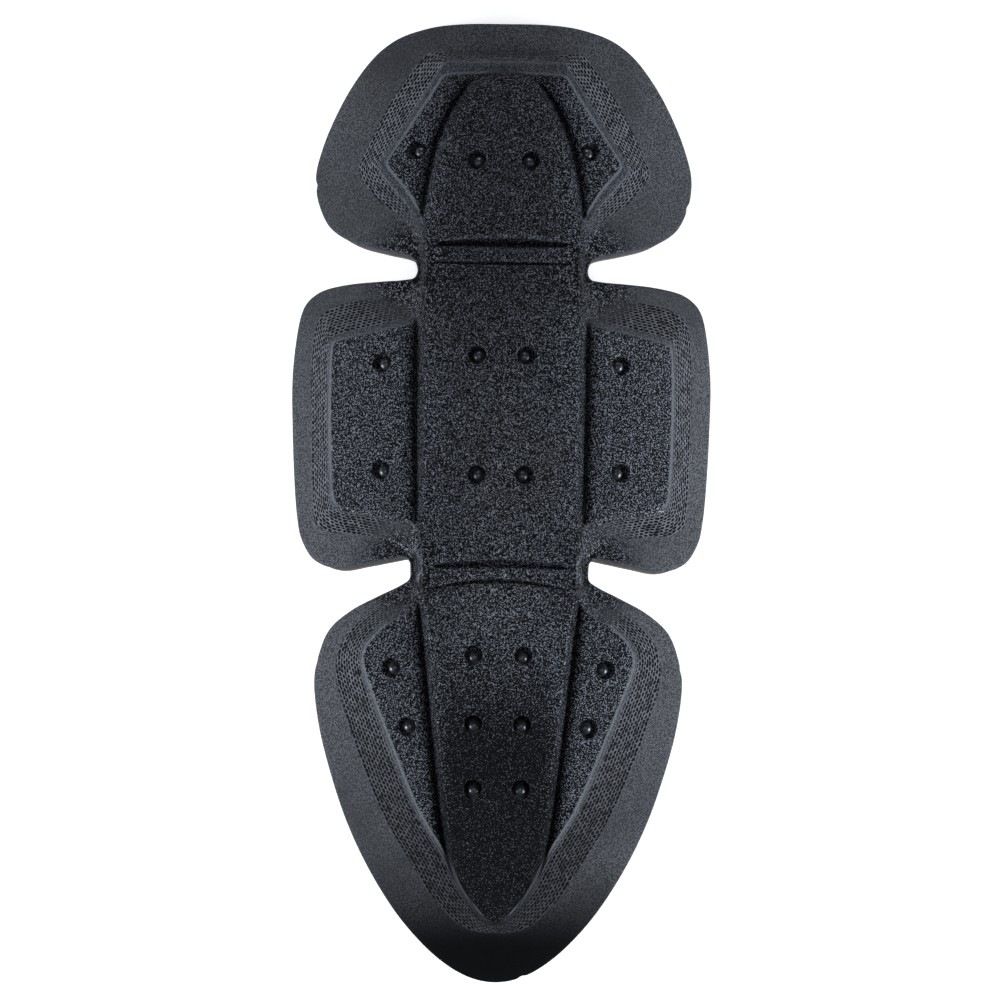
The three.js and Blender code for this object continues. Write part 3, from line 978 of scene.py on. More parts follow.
    def _slope_rings(self, sheets: Sheets, lines: Contours, outward: Array) -> tuple[list[Array], Array]:
        """Adds the rings from the edge's lip over brim, slope and bevel to just inside the crown line.

        Each ring lies at a fixed share of the way between two of the contours.

        Args:
            sheets: the mesh that grows.
            lines: the contours.
            outward: unit plan directions out of the edge.

        Returns:
            The rings' vertex numbers, from the lip inwards, and the plan line of the last ring.
        """
        lip = lines.edge - outward * self.lip
        foot_way = np.linalg.norm(lines.foot - lip, axis=1)
        crease_way = foot_way + np.linalg.norm(lines.crease - lines.foot, axis=1)
        crown_way = crease_way + np.linalg.norm(lines.crown - lines.crease, axis=1)
        inwards = lines.crown - lines.crease
        inwards = inwards / np.linalg.norm(inwards, axis=1)[:, None]
        over = self.relief.crown_round
        stations = [(lip + (lines.foot - lip) * share, foot_way * share) for share in self.brim_rows]
        stations += [(lines.foot + (lines.crease - lines.foot) * share,
                      foot_way + (crease_way - foot_way) * share) for share in self.slope_rows]
        stations += [(lines.crease + (lines.crown - lines.crease) * share,
                      crease_way + (crown_way - crease_way) * share) for share in self.bevel_rows]
        stations += [(lines.crown + inwards * over * share, crown_way + over * share)
                     for share in self.crown_rows]
        rises = [self.relief.slope(way, foot_way, crease_way, crown_way) for _, way in stations]
        along, heights = self._net_map(lines, [plan for plan, _ in stations], rises)
        sharp = self._sharpness(lines)
        rings = []
        for (plan, way), rise, height in zip(stations, rises, heights):
            zones = self._slope_zones(way, foot_way, crease_way, crown_way, sharp)
            rings.append(self._outer_face(sheets, plan, rise, along, height, **zones))
        for lower, upper in zip(rings, rings[1:]):
            sheets.bridge(lower, upper)
        return rings, stations[-1][0]

    def _net_map(self, lines: Contours, plans: list[Array], rises: list[Array]) -> tuple[Array, Array]:
        """Lays the net's own map over the slope.

        Args:
            lines: the contours.
            plans: plan lines of the rings.
            rises: rises of the rings over the brim.

        Returns:
            The way along the middle of the slope, from the top on either side, and for each ring the
            way up the surface, counted from the crease with a little more, so that a row starts there.
        """
        middle = (lines.foot + lines.crease) / 2
        walked = np.concatenate([[0.0], np.cumsum(
            np.linalg.norm(np.roll(middle, -1, axis=0) - middle, axis=1))])
        along = np.minimum(walked[:-1], walked[-1] - walked[:-1])
        points = np.array([self.dome.place(plan, np.maximum(rise, 0.0))
                           for plan, rise in zip(plans, rises)])
        steps = np.linalg.norm(np.diff(points, axis=0), axis=2)
        up = np.vstack([np.zeros(len(along)), np.cumsum(steps, axis=0)])
        return along, up - up[len(self.brim_rows) + len(self.slope_rows)] + self.first_row

    def _sharpness(self, lines: Contours) -> Array:
        """How sharp the bevel is, by place round the guard.

        Args:
            lines: the contours.

        Returns:
            One where the crown line faces left or right and on the top lobe's end, less on the
            middle lobe's upper edge, and zero elsewhere.
        """
        paint = self.painting
        sharp = smoothstep(*paint.side_facing, np.abs(outward_of(lines.crown)[:, 0]))
        crown_y = lines.crown[:, 1]
        sharp = np.maximum(sharp, smoothstep(*paint.top_panel, crown_y))
        past_upper = smoothstep(*paint.middle_panel_end, crown_y)
        upper_edge = smoothstep(*paint.middle_panel_start, crown_y) * (1 - past_upper)
        return np.maximum(sharp, paint.middle_panel_share * upper_edge)

    def _slope_zones(self, way: Array, foot: Array, crease: Array, crown: Array,
                     sharp: Array) -> dict[str, Array]:
        """Painted shares of one ring of the slope.

        Args:
            way: how far the ring lies from the edge.
            foot, crease, crown: how far those lines lie from the edge there.
            sharp: how sharp the bevel is.

        Returns:
            Net from foot to crease, bevel from there nearly to the crown line, painted highlights on
            the ridges at the crown line and on both sides of a wide bevel, grain beyond it and on a blunt
            bevel, and painted shade where the whole slope is narrow. All but the narrow highlight at the
            crease are products of eased steps.
        """
        paint = self.painting
        wide_slope = smoothstep(*paint.wide_slope, crease - foot)
        wide_bevel = smoothstep(*paint.wide_bevel, crown - crease)
        past_crease = smoothstep(*paint.bevel_start, way - crease)
        net = (smoothstep(*paint.net_start, way - foot)
               * (1 - smoothstep(*paint.net_end, way - crease)) * wide_slope)
        bevel = past_crease * (1 - smoothstep(*paint.bevel_end, way - crown))
        past_ridge = smoothstep(*paint.ridge_end, way - crown)
        ridge_highlight = smoothstep(*paint.ridge_start, way - crown) * (1 - past_ridge)
        crease_highlight = wide_bevel * np.exp(-((way - crease) / paint.crease_highlight) ** 2)
        ridge_highlight = np.minimum(ridge_highlight + crease_highlight, 1.0)
        grain = np.maximum(smoothstep(*paint.grain_start, way - crown), past_crease * (1 - sharp))
        tight = 1 - smoothstep(*paint.tight_slope, crown)
        return {"net": net, "bevel": bevel * sharp, "ridge_highlight": ridge_highlight * sharp, "grain": grain,
                "shade": tight}

    def _crown(self, sheets: Sheets, rim: Array, rim_line: Array) -> None:
        """Fills the crown: an even lattice, with closer points along each groove, crease and dimple.

        Args:
            sheets: the mesh that grows.
            rim: vertex numbers of the last ring of the slope.
            rim_line: its plan line.
        """
        lattice = plan_lattice(rim_line, self.crown_step, self.lattice_margin * self.crown_step)
        features, keep = [], np.ones(len(lattice), bool)
        for points_of, places in ((self._dimple_points, self.relief.dimples),
                                  (self._groove_points, self.relief.grooves),
                                  (self._crease_points, self.relief.creases)):
            for place in places:
                points, clear = points_of(place, lattice)
                features.append(points)
                keep &= clear
        points = np.vstack([lattice[keep], *features])
        inner = clear_of_ring(points, rim_line, self.crown_margin * self.step)
        inner = self._thinned(inner, self.least_gap)
        rise = np.full(len(inner), self.relief.crown_rise)
        numbers = self._outer_face(sheets, inner, rise, 0.0, 0.0, grain=1.0)
        sheets.fill(np.concatenate([rim, numbers])[plan_fill(rim_line, inner)])

    def _dimple_points(self, dimple: Dimple, lattice: Array) -> tuple[Array, Array]:
        """Points for a dimple on both halves.

        Args:
            dimple: the dimple.
            lattice: the crown's lattice.

        Returns:
            Circles round its middle and the middle, and which lattice points lie clear of it.
        """
        points = []
        for side in (-1.0, 1.0):
            points += [self._circle(side * dimple.x, dimple.y, share * dimple.radius, turns)
                       for share, turns in self.dimple_rings]
            points.append(np.array([[side * dimple.x, dimple.y]]))
        return np.vstack(points), dimple.radii(lattice) > self.dimple_clear * dimple.radius

    def _groove_points(self, groove: Groove, lattice: Array) -> tuple[Array, Array]:
        """Points for a groove on both halves.

        Args:
            groove: the groove.
            lattice: the crown's lattice.

        Returns:
            Lines beside its floor line, at shares of the way to the spine on the one side and at
            fixed ways on the other, and which lattice points lie clear of it.
        """
        line = groove.line(self.groove_step)
        across = -outward_of(line)
        across[0], across[-1] = across[1], across[-2]
        width = line_offset(line, self.relief.spine.line())[0][:, None]
        beside = [line + across * width * share for share in self.groove_wall_rows]
        beside += [line + across * offset for offset in self.groove_shoulder_rows]
        points = np.vstack(beside)
        offset, _ = line_offset(right_half(lattice), line)
        low, high = self.groove_clear
        return np.vstack([points, points * (-1.0, 1.0)]), ~((offset > low) & (offset < high))

    def _crease_points(self, crease: HingeCrease, lattice: Array) -> tuple[Array, Array]:
        """Points for a hinge crease.

        Args:
            crease: the hinge crease.
            lattice: the crown's lattice.

        Returns:
            Lines at shares of its half width from its middle line, and which lattice points lie
            clear of it.
        """
        across = np.arange(-crease.half, crease.half + 0.01, self.crease_step)
        row = np.stack([across, np.full_like(across, crease.y)], axis=1)
        shift, half_width = crease.offset(row)
        rows = [row + np.stack([np.zeros_like(across), share * half_width - shift], axis=1)
                for share in self.crease_rows]
        offset, half_width = crease.offset(lattice)
        beside = np.abs(offset) > half_width * self.crease_rows[-1] + self.crease_clear
        beyond = np.abs(lattice[:, 0]) > crease.half + self.crease_end_clear
        return np.vstack(rows), beside | beyond

    @staticmethod
    def _circle(x: float, y: float, radius: float, turns: int) -> Array:
        """Points round a middle: cosine and sine of even turns."""
        angle = np.arange(turns) * 2 * math.pi / turns
        return np.stack([x + radius * np.cos(angle), y + radius * np.sin(angle)], axis=1)

    @staticmethod
    def _thinned(points: Array, pitch: float) -> Array:
        """Keeps one point in each small square of a grid, so that none lie too close."""
        _, first = np.unique(np.round(points / pitch).astype(int), axis=0, return_index=True)
        return points[np.sort(first)]

    def _edge_and_underside(self, sheets: Sheets, lip_ring: Array, edge: Array, outward: Array) -> None:
        """Rounds the lip, drops the cut edge square to the dome and closes the underside.

        Args:
            sheets: the mesh that grows.
            lip_ring: vertex numbers of the first ring of the slope.
            edge: plan line of the cut edge.
            outward: unit plan directions out of it.
        """
        rows = [(self.lip * (math.cos(turn) - 1), self.lip * (math.sin(turn) - 1))
                for turn in np.radians(self.lip_turns)]
        rows += self.cut_rows
        above = lip_ring
        plain = {zone.value: 0.0 for zone in Zone} | {NET_ALONG: 0.0, NET_UP: 0.0}
        for offset, level in rows:
            plan = edge + outward * offset
            points = self.dome.place(plan, np.full(len(plan), level))
            cut = float(smoothstep(*self.cut_start, np.array(-level)))
            ring = sheets.add(points, **(plain | {Zone.CUT.value: cut}))
            sheets.bridge(ring, above)
            above = ring
        inner = plan_lattice(plan, self.under_step, self.under_margin)
        points = self.dome.place(inner, np.full(len(inner), -self.thickness))
        numbers = sheets.add(points, **(plain | {Zone.CUT.value: 1.0}))
        sheets.fill(np.concatenate([above, numbers])[plan_fill(plan, inner)], turned=True)


@dataclass
class FoamLining:
    """The thin backing under the shell, whose cut edge stands out a little."""

    dome: Dome
    top: float = -3.8
    thickness: float = 1.8
    overhang: float = 0.4
    step: float = 1.0
    top_step: float = 6.0
    under_step: float = 2.4
    margin: float = 0.5
    cut_margin: float = 0.1
    upper_profile: tuple[Pair, ...] = ((-0.9, 0.0), (-0.25, 0.0), (-0.05, -0.2), (0.0, -0.55))
    lower_profile: tuple[Pair, ...] = ((0.0, 0.5), (-0.1, 0.18), (-0.35, 0.0), (-1.1, 0.0))

    def build(self) -> bpy.types.Object:
        """Builds the lining: its upper face, rounded cut edge and underside.

        Returns:
            The piece. The profiles give its edge's places outward of the overhang, and their levels
            over the upper face or the underside.
        """
        edge = Contours.stepped(self.step).edge
        outward = outward_of(edge)
        bottom = self.top - self.thickness
        profile = [(self.overhang + offset, self.top + level) for offset, level in self.upper_profile]
        profile += [(self.overhang + offset, bottom + level) for offset, level in self.lower_profile]
        sheets = Sheets()
        rings, lines = [], []
        for offset, level in profile:
            plan = edge + outward * offset
            points = self.dome.place(plan, np.full(len(plan), level))
            cut = float(self.top - self.cut_margin > level > bottom + self.cut_margin)
            rings.append(sheets.add(points, **{Zone.CUT.value: cut}))
            lines.append(plan)
        for upper, lower in zip(rings, rings[1:]):
            sheets.bridge(lower, upper)
        for ring, line, level, step, turned in (
            (rings[0], lines[0], self.top, self.top_step, False),
            (rings[-1], lines[-1], bottom, self.under_step, True),
        ):
            inner = plan_lattice(line, step, self.margin * step)
            points = self.dome.place(inner, np.full(len(inner), level))
            numbers = sheets.add(points, **{Zone.CUT.value: 0.0})
            sheets.fill(np.concatenate([ring, numbers])[plan_fill(line, inner)], turned)
        piece = sheets.mesh_object("foam_lining_sheet")
        LOG.info("lining: %d vertices, %d faces", len(piece.data.vertices), len(piece.data.polygons))
        return piece

    def dress(self, piece: bpy.types.Object) -> None:
        """Gives the built lining its finish."""
        LiningFinish().dress(piece)


# Finishes

class Wire:
    """A node socket that adds Math nodes when it is used in an expression."""

    def __init__(self, tree: "NodeTree", socket: bpy.types.NodeSocket) -> None:
        """Keeps the tree and the socket."""
        self.tree = tree
        self.socket = socket

    def _math(self, operation: str, *values: Any) -> "Wire":
        """Adds a Math node on the values."""
        return self.tree.node("ShaderNodeMath", {"operation": operation}, *values)

    def __add__(self, other: Any) -> "Wire":
        """Sum."""
        return self._math("ADD", self, other)

    def __sub__(self, other: Any) -> "Wire":
        """Difference."""
        return self._math("SUBTRACT", self, other)

    def __rsub__(self, other: Any) -> "Wire":
        """Difference from a number."""
        return self._math("SUBTRACT", other, self)

    def __mul__(self, other: Any) -> "Wire":
        """Product."""
        return self._math("MULTIPLY", self, other)

    def __truediv__(self, other: Any) -> "Wire":
        """Quotient."""
        return self._math("DIVIDE", self, other)

    __radd__ = __add__
    __rmul__ = __mul__

    def fraction(self) -> "Wire":
        """Part after the point."""
        return self._math("FRACT", self)

    def power(self, exponent: float) -> "Wire":
        """Power."""
        return self._math("POWER", self, exponent)

    def least(self, other: Any) -> "Wire":
        """Smaller of the two."""
        return self._math("MINIMUM", self, other)

    def most(self, other: Any) -> "Wire":
        """Larger of the two."""
        return self._math("MAXIMUM", self, other)

    def eased(self, low: Any, high: Any) -> "Wire":
        """Smooth share of the way from low to high."""
        settings = {"interpolation_type": "SMOOTHSTEP"}
        return self.tree.node("ShaderNodeMapRange", settings, self, low, high, 0.0, 1.0)


class NodeTree:
    """The nodes of one material."""

    def __init__(self, name: str) -> None:
        """Makes an empty material with a Principled shader."""
        self.material = bpy.data.materials.new(name)
        self.material.use_nodes = True
        self.tree = self.material.node_tree
        self.tree.nodes.clear()
        self.output = self.tree.nodes.new("ShaderNodeOutputMaterial")
        self.shader = self.tree.nodes.new("ShaderNodeBsdfPrincipled")
        self.tree.links.new(self.shader.outputs[0], self.output.inputs[0])

    def node(self, kind: str, settings: dict[str, Any] | None = None, *values: Any,
             output: int | str = 0, **named: Any) -> Wire:
        """Adds a node.

        Args:
            kind: the node's type.
            settings: its own options, set first.
            values: values or wires for its input sockets, in order; None leaves one as it is.
            output: the output to return.
            named: values or wires for sockets by name, with _ for a space.

        Returns:
            The output's wire.
        """
        made = self.tree.nodes.new(kind)
        for option, value in (settings or {}).items():
            setattr(made, option, value)
        sockets = list(zip(made.inputs, values))
        sockets += [(made.inputs[name.replace("_", " ")], value) for name, value in named.items()]
        for socket, value in sockets:
            self.feed(socket, value)
        return Wire(self, made.outputs[output])

    def feed(self, socket: bpy.types.NodeSocket, value: Any) -> None:
        """Links a wire to a socket, or sets its value."""
        if isinstance(value, Wire):
            self.tree.links.new(value.socket, socket)
        elif value is not None:
            socket.default_value = value

    def set(self, **inputs: Any) -> None:
        """Sets or links the shader's sockets by name, with _ for a space."""
        for name, value in inputs.items():
            self.feed(self.shader.inputs[name.replace("_", " ")], value)

    def attribute(self, name: str) -> Wire:
        """A point attribute's value."""
        return self.node("ShaderNodeAttribute", {"attribute_name": name}, output="Fac")

    def place(self) -> Wire:
        """Object coordinates."""
        return self.node("ShaderNodeTexCoord", output="Object")

    def axes(self, place: Wire) -> tuple[Wire, Wire, Wire]:
        """The three parts of a place.

        Args:
            place: a wire of vectors.

        Returns:
            Its parts across, along and up.
        """
        first = self.node("ShaderNodeSeparateXYZ", None, place)
        parts = first.socket.node.outputs
        return Wire(self, parts[0]), Wire(self, parts[1]), Wire(self, parts[2])

    def noise(self, place: Wire, scale: float, detail: float = 2.0, roughness: float = 0.5) -> Wire:
        """A noise value from 0 to 1."""
        return self.node("ShaderNodeTexNoise", None, Vector=place, Scale=scale, Detail=detail,
                         Roughness=roughness)

    def mix(self, share: Any, low: Any, high: Any) -> Wire:
        """Blend of two colours.

        Args:
            share: share of the second colour.
            low, high: the two colours.

        Returns:
            The blend's wire.
        """
        made = self.tree.nodes.new("ShaderNodeMix")
        made.data_type = "RGBA"
        for socket, value in ((made.inputs[0], share), (made.inputs[6], low), (made.inputs[7], high)):
            self.feed(socket, value)
        return Wire(self, made.outputs[2])

    def bump(self, height: Wire, distance: float, strength: float = 1.0) -> Wire:
        """Normals bent by a height."""
        return self.node("ShaderNodeBump", None, Height=height, Distance=distance, Strength=strength)


Colour = tuple[float, float, float, float]


@dataclass(frozen=True)
class ShellFinish:
    """Near-black moulded foam: net on the slopes, grain on the crown, fine matt on the brim.

    Painted shade lies in the hollows, the net's holes and pits, down the spine, on the upper lobe's
    lower brims, over the lower net and at the lower end. Painted light lies on the edges, as glints
    on the grain and over the middle lobe's brims.
    """

    brim: Colour = (0.0268, 0.0280, 0.0312, 1.0)
    brim_dust: Colour = (0.0985, 0.1020, 0.1085, 1.0)
    # Painted light on the middle lobe's brims
    brim_light: Colour = (0.134, 0.138, 0.146, 1.0)
    # Painted shade at the lower end, which faces away from the light
    tip_shade: Colour = (0.0006, 0.0008, 0.0012, 1.0)
    crown: Colour = (0.0012, 0.0014, 0.0019, 1.0)
    # Painted glints on the crown's grain: the grain is real, its lit points are painted light
    crown_glint: Colour = (0.180, 0.192, 0.220, 1.0)
    bevel: Colour = (0.0200, 0.0212, 0.0240, 1.0)
    # Painted highlight on edges, lips and collars, also used for the bevel's glints
    ridge_highlight: Colour = (0.096, 0.104, 0.121, 1.0)
    net_ridge: Colour = (0.111, 0.116, 0.129, 1.0)
    # Painted shade in the net's holes, whose relief is only a bump, and over the lower net
    net_hole_shade: Colour = (0.0006, 0.0008, 0.0012, 1.0)
    # Painted shade in the hollows and pits
    cavity: Colour = (0.0008, 0.0010, 0.0014, 1.0)
    nub: Colour = (0.020, 0.022, 0.026, 1.0)
    stain: Colour = (0.014, 0.010, 0.008, 1.0)
    net_pitch: float = 1.36
    net_row: float = 2.16
    net_hole: Pair = (0.60, 0.46)
    net_depth: float = 0.42
    grain_pitch: float = 0.35
    grain_depth: float = 0.30
    pit_pitch: float = 0.80
    fine_pitch: float = 0.36
    fine_depth: float = 0.08
    # Ends of eased shares by place, in metres as object coordinates are
    spine_side: Pair = (0.011, 0.018)
    tip_shade_place: Pair = (-0.088, -0.116)
    # Painted shade down the spine: the lower lobe's part, and weaker the upper lobe's
    lower_spine_place: Pair = (-0.035, -0.068)
    upper_spine_place: Pair = (0.015, 0.055)
    glossy_start: Pair = (-0.010, -0.024)
    glossy_end: Pair = (-0.060, -0.036)
    # Painted light over the middle lobe's brims
    middle_brim_light_start: Pair = (-0.092, -0.062)
    middle_brim_light_end: Pair = (0.054, 0.036)
    # Painted shade over the upper lobe's lower brims
    upper_brim_shade_start: Pair = (0.036, 0.050)
    upper_brim_shade_end: Pair = (0.092, 0.076)
    # Painted shade over the net, deepening towards the bottom
    lower_net_shade_place: Pair = (-0.020, -0.110)
    # Shares of one look over another
    upper_shade: float = 0.55
    middle_brim_light_share: float = 0.34
    upper_brim_shade_share: float = 0.30
    lower_net_shade_share: float = 0.7
    bevel_glints: float = 0.6
    ridge_highlight_share: float = 0.8
    shade_dims: float = 0.6
    cavity_shade_share: float = 0.94

    def dress(self, piece: bpy.types.Object) -> None:
        """Gives the piece this finish.

        Args:
            piece: the object to dress.
        """
        nodes = NodeTree("moulded_foam")
        place = nodes.place()
        zone = {each: nodes.attribute(each.value) for each in Zone}
        net, nub = zone[Zone.NET], zone[Zone.NUB]
        bevel, ridge_highlight, cavity = zone[Zone.BEVEL], zone[Zone.RIDGE], zone[Zone.CAVITY]
        holes = self._net_holes(nodes) * net
        grained = zone[Zone.GRAIN] * (1.0 - nub)
        fine = nodes.noise(place, 1.0 / (self.fine_pitch * MM), 1.0, 0.6)
        # Painted shade of small pits round the notch ends and hinge creases; the pits have no relief
        pit_shade = nodes.noise(place, 1.0 / (self.pit_pitch * MM), 1.0, 0.5).eased(0.53, 0.60)
        broad = nodes.noise(place, 38.0, 3.0, 0.55)
        way_across, way_along, _ = nodes.axes(place)
        # Painted shade at the lower end, which faces away from the light
        tip_shade_share = way_along.eased(*self.tip_shade_place)
        beside = way_across.most(0.0 - way_across).eased(*self.spine_side)
        # Painted shade down the spine, strong on the lower lobe and weaker on the upper lobe; it dims the
        # painted glints
        lower_spine = (1.0 - beside) * way_along.eased(*self.lower_spine_place)
        upper_spine = (1.0 - beside) * way_along.eased(*self.upper_spine_place)
        shaded = lower_spine.most(upper_spine * self.upper_shade)
        glossy = (1.0 - beside) * way_along.eased(*self.glossy_start) * way_along.eased(*self.glossy_end)
        grain = nodes.noise(place, 1.0 / (self.grain_pitch * MM), 1.5, 0.55)
        # Painted light: a lighter band over the middle lobe's brims, broken by the fine noise
        middle_brim_light = way_along.eased(*self.middle_brim_light_start) * way_along.eased(*self.middle_brim_light_end)
        # Painted shade: the upper lobe's lower brims lose their dust tone
        upper_brim_shade = way_along.eased(*self.upper_brim_shade_start) * way_along.eased(*self.upper_brim_shade_end)
        # Painted shade: the net darkens towards the bottom
        lower_net_shade = way_along.eased(*self.lower_net_shade_place)
        # Painted glints: light points on the grain, sparser in the lower spine's painted shade
        grain_glint = grain.eased(lower_spine * 0.06 + 0.52, lower_spine * 0.06 + 0.63) * grained
        base = nodes.mix(fine.eased(0.44, 0.60) * broad.eased(0.1, 0.7), self.brim, self.brim_dust)
        base = nodes.mix(middle_brim_light * fine.eased(0.40, 0.62) * self.middle_brim_light_share, base, self.brim_light)
        base = nodes.mix(net, base, self.net_ridge)
        base = nodes.mix(upper_brim_shade * self.upper_brim_shade_share, base, self.brim)
        base = nodes.mix(lower_net_shade * net * self.lower_net_shade_share, base, self.net_hole_shade)
        base = nodes.mix(tip_shade_share * (1.0 - net), base, self.tip_shade)
        base = nodes.mix(grained, base, self.crown)
        base = nodes.mix(bevel * (1.0 - grain.eased(0.46, 0.58)), base, self.bevel)
        # Painted glints on the bevel's grain, in the highlight colour
        base = nodes.mix(bevel * grain.eased(0.50, 0.60) * self.bevel_glints, base, self.ridge_highlight)
        # Painted highlight along the crown's edge, the creases' lips and the collars
        base = nodes.mix(ridge_highlight * grain.eased(0.34, 0.58) * self.ridge_highlight_share, base, self.ridge_highlight)
        base = nodes.mix(grain_glint * (1.0 - shaded * self.shade_dims), base, self.crown_glint)
        # Painted shade in the pits
        base = nodes.mix(pit_shade * zone[Zone.NECK], base, self.cavity)
        # Painted shade in the hollows, broken by the painted glints
        base = nodes.mix(cavity * (self.cavity_shade_share - grain_glint * 0.4), base, self.cavity)
        base = nodes.mix(nub, base, self.nub)
        # Painted shade in the net's holes
        base = nodes.mix(holes, base, self.net_hole_shade)
        base = nodes.mix(self._stain_share(nodes, place, broad), base, self.stain)
        rough = 0.62 + broad * 0.12 - nub * 0.3 + cavity * 0.26
        height = (fine * (self.fine_depth * MM) + grain * (self.grain_depth * MM) * grained
                  - holes * (self.net_depth * MM))
        nodes.set(Base_Color=base, Roughness=rough, Normal=nodes.bump(height, 1.0),
                  Specular_IOR_Level=0.06, Coat_Roughness=0.28,
                  Coat_Weight=nub + grain_glint * (0.3 + glossy * 0.7) * (1.0 - shaded * self.shade_dims))
        piece.data.materials.append(nodes.material)

    def _net_holes(self, nodes: NodeTree) -> Wire:
        """Oval holes at the places of a staggered lattice on the net's own map.

        The map wanders a little by noise. The lattice is two even grids, one shifted by half a cell
        both ways. In each grid the way to the cell's middle is counted in hole sizes along and up.
        The nearer grid gives the share of the hole's radius, which more noise makes uneven, and a
        hole is where that share is under about one.

        Args:
            nodes: the material's nodes.

        Returns:
            One in a hole and zero on the ridges, with an eased rim.
        """
        place = nodes.place()
        along = nodes.attribute(NET_ALONG) + (nodes.noise(place, 450.0, 1.0) - 0.5) * 0.8
        up = nodes.attribute(NET_UP) + (nodes.noise(place, 380.0, 1.0) - 0.5) * 0.9
        uneven = nodes.noise(place, 620.0, 2.0, 0.7) * 1.5 + 0.3
        half_along, half_up = self.net_hole
        nearest = None
        for shift in (0.0, 0.5):
            across = ((along / self.net_pitch + shift).fraction() - 0.5) * (self.net_pitch / half_along)
            upward = ((up / self.net_row + shift).fraction() - 0.5) * (self.net_row / half_up)
            gap = (across * across + upward * upward).power(0.5)
            nearest = gap if nearest is None else nearest.least(gap)
        return 1.0 - (nearest * uneven).eased(0.7, 1.2)

    def _stain_share(self, nodes: NodeTree, place: Wire, broad: Wire) -> Wire:
        """A faint brownish cast round a place on the spine, broken up by the broad noise.

        Args:
            nodes: the material's nodes.
            place: object coordinates.
            broad: the broad noise.

        Returns:
            Share of the cast, from the way to the middle.
        """
        centre = (0.0035, 0.010, 0.044)
        gap = nodes.node("ShaderNodeVectorMath", {"operation": "DISTANCE"}, place, centre, output="Value")
        return (1.0 - gap.eased(0.004, 0.020)) * broad.eased(0.3, 0.7) * 0.8


@dataclass(frozen=True)
class LiningFinish:
    """Grey-brown backing foam with a fine open-cell skin and a paler cut edge."""

    skin: Colour = (0.060, 0.055, 0.052, 1.0)
    cells: Colour = (0.028, 0.025, 0.024, 1.0)
    cut: Colour = (0.100, 0.086, 0.078, 1.0)

    def dress(self, piece: bpy.types.Object) -> None:
        """Gives the piece this finish.

        Args:
            piece: the object to dress.
        """
        nodes = NodeTree("lining_foam")
        place = nodes.place()
        cut = nodes.attribute(Zone.CUT.value)
        cells = nodes.node("ShaderNodeTexVoronoi", {"feature": "F1"}, Vector=place, Scale=1100.0,
                           output="Distance")
        broad = nodes.noise(place, 30.0, 3.0)
        fine = nodes.noise(place, 1800.0, 3.0)
        pores = 1.0 - cells.eased(0.1, 0.5)
        base = nodes.mix(pores * 0.7 + broad * 0.2, self.skin, self.cells)
        base = nodes.mix(cut, base, self.cut)
        height = (fine * 0.05 - pores * 0.06) * MM
        nodes.set(Base_Color=base, Roughness=0.86 + broad * 0.1, Normal=nodes.bump(height, 1.0),
                  Sheen_Weight=0.1, Sheen_Roughness=0.6)
        piece.data.materials.append(nodes.material)


# Studio

@dataclass(frozen=True)
class Softbox:
    """A square area light that faces the guard."""

    name: str
    place: tuple[float, float, float]
    size: float
    watts: float

    def build(self) -> None:
        """Adds the light, turned towards the middle of the guard."""
        light = bpy.data.lights.new(self.name, "AREA")
        light.color = (0.93, 0.98, 1.07)
        light.shape = "SQUARE"
        light.size = self.size
        light.energy = self.watts
        lamp = bpy.data.objects.new(self.name, light)
        lamp.location = self.place
        lamp.rotation_mode = "QUATERNION"
        lamp.rotation_quaternion = (-Vector(self.place)).to_track_quat("-Z", "Y")
        bpy.context.scene.collection.objects.link(lamp)


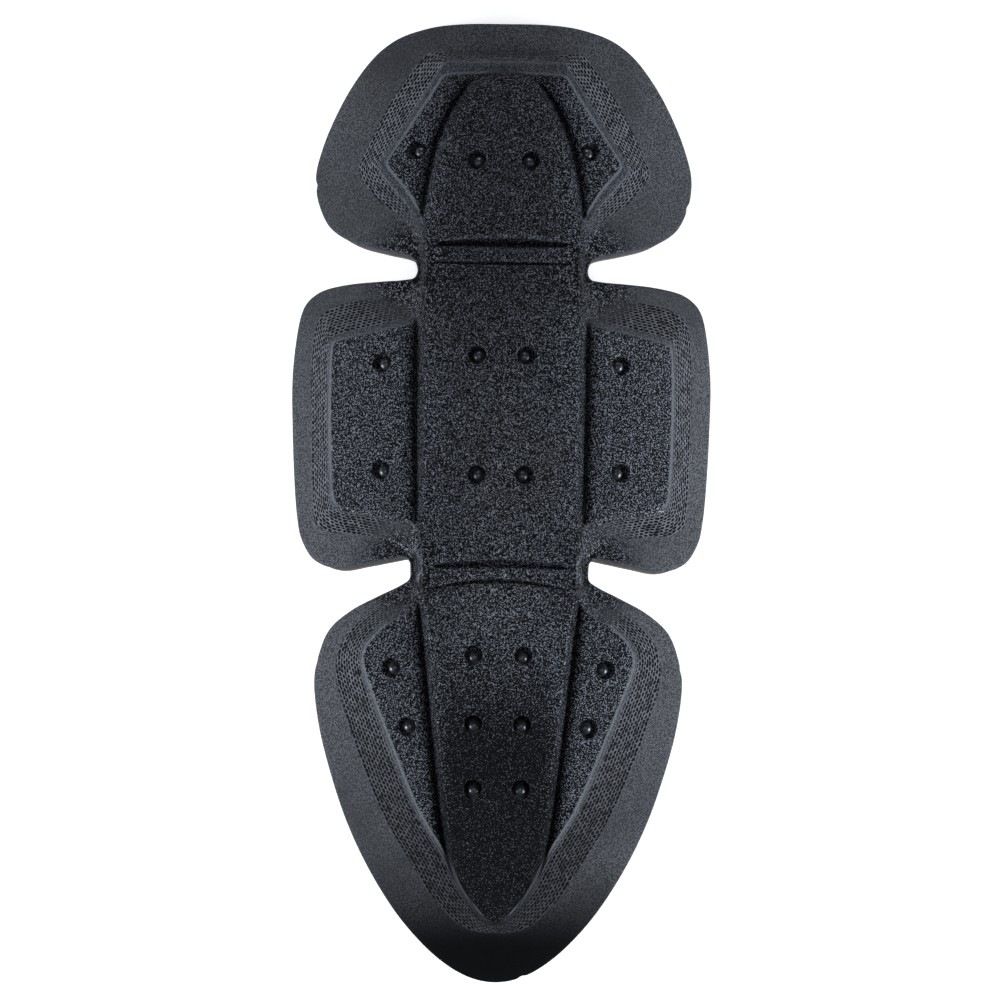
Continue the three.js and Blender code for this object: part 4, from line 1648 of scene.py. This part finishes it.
@dataclass(frozen=True)
class Studio:
    """Pale floor, soft lights and the camera straight above."""

    camera_height: float = 12000.0
    sharp_height: float = 24.0
    picture_width: float = 259.6
    roll: float = 0.65
    aim: Pair = (-0.04, 0.91)
    floor_size: float = 6.0
    floor_colour: Colour = (0.86, 0.86, 0.86, 1.0)
    floor_glow: float = 0.8
    daylight: float = 0.02
    boxes: tuple[Softbox, ...] = (
        Softbox("box_left", (-1.5, -0.55, 0.32), 0.8, 42.0),
        Softbox("box_right", (1.5, -0.55, 0.32), 0.8, 49.0),
        Softbox("box_front_left", (-1.07, -0.53, 1.07), 0.6, 2.0),
        Softbox("box_top", (0.0, 1.6, 0.4), 0.8, 9.0),
        Softbox("box_above", (0.0, 0.1, 2.4), 0.9, 9.0),
    )

    def build(self) -> None:
        """Adds floor, world, lights and camera."""
        self._floor()
        self._world()
        for box in self.boxes:
            box.build()
        self._camera()

    def _floor(self) -> None:
        """A flat pale floor at z = 0 with a faint tooth."""
        half = self.floor_size / 2
        mesh = bpy.data.meshes.new("floor")
        mesh.from_pydata([(-half, -half, 0), (half, -half, 0), (half, half, 0), (-half, half, 0)], [],
                         [(0, 1, 2, 3)])
        floor = bpy.data.objects.new("floor", mesh)
        bpy.context.scene.collection.objects.link(floor)
        nodes = NodeTree("pale_floor")
        tooth = nodes.noise(nodes.place(), 60.0)
        nodes.set(Base_Color=self.floor_colour, Roughness=0.8 + tooth * 0.1, Specular_IOR_Level=0.2,
                  Emission_Color=self.floor_colour, Emission_Strength=self.floor_glow)
        mesh.materials.append(nodes.material)

    def _world(self) -> None:
        """Even pale daylight from all round."""
        world = bpy.data.worlds.new("daylight")
        world.use_nodes = True
        world.node_tree.nodes["Background"].inputs[0].default_value = (1.0, 1.0, 1.0, 1.0)
        world.node_tree.nodes["Background"].inputs[1].default_value = self.daylight
        bpy.context.scene.world = world
        bpy.context.scene.view_settings.view_transform = "Standard"

    def _camera(self) -> None:
        """A long lens straight above; the picture's width holds at the guard's middle height."""
        data = bpy.data.cameras.new("camera")
        data.lens = data.sensor_width * (self.camera_height - self.sharp_height) / self.picture_width
        data.clip_start, data.clip_end = 0.1, 20.0
        camera = bpy.data.objects.new("camera", data)
        camera.location = (self.aim[0] * MM, self.aim[1] * MM, self.camera_height * MM)
        camera.rotation_euler = (0.0, 0.0, math.radians(self.roll))
        bpy.context.scene.collection.objects.link(camera)
        bpy.context.scene.camera = camera


def main() -> None:
    """Builds the shell, the lining and the studio in order."""
    logging.basicConfig(level=logging.INFO, format="%(message)s")
    dome = Dome()
    moulded_shell = MouldedShell(dome, Relief())
    shell = moulded_shell.build()
    moulded_shell.dress(shell)
    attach(shell, "root")
    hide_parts("moulded_shell")
    foam_lining = FoamLining(dome)
    lining = foam_lining.build()
    foam_lining.dress(lining)
    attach(lining, "root")
    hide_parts("foam_lining")
    Studio().build()
    LOG.info("studio ready")


if __name__ == "__main__":
    main()
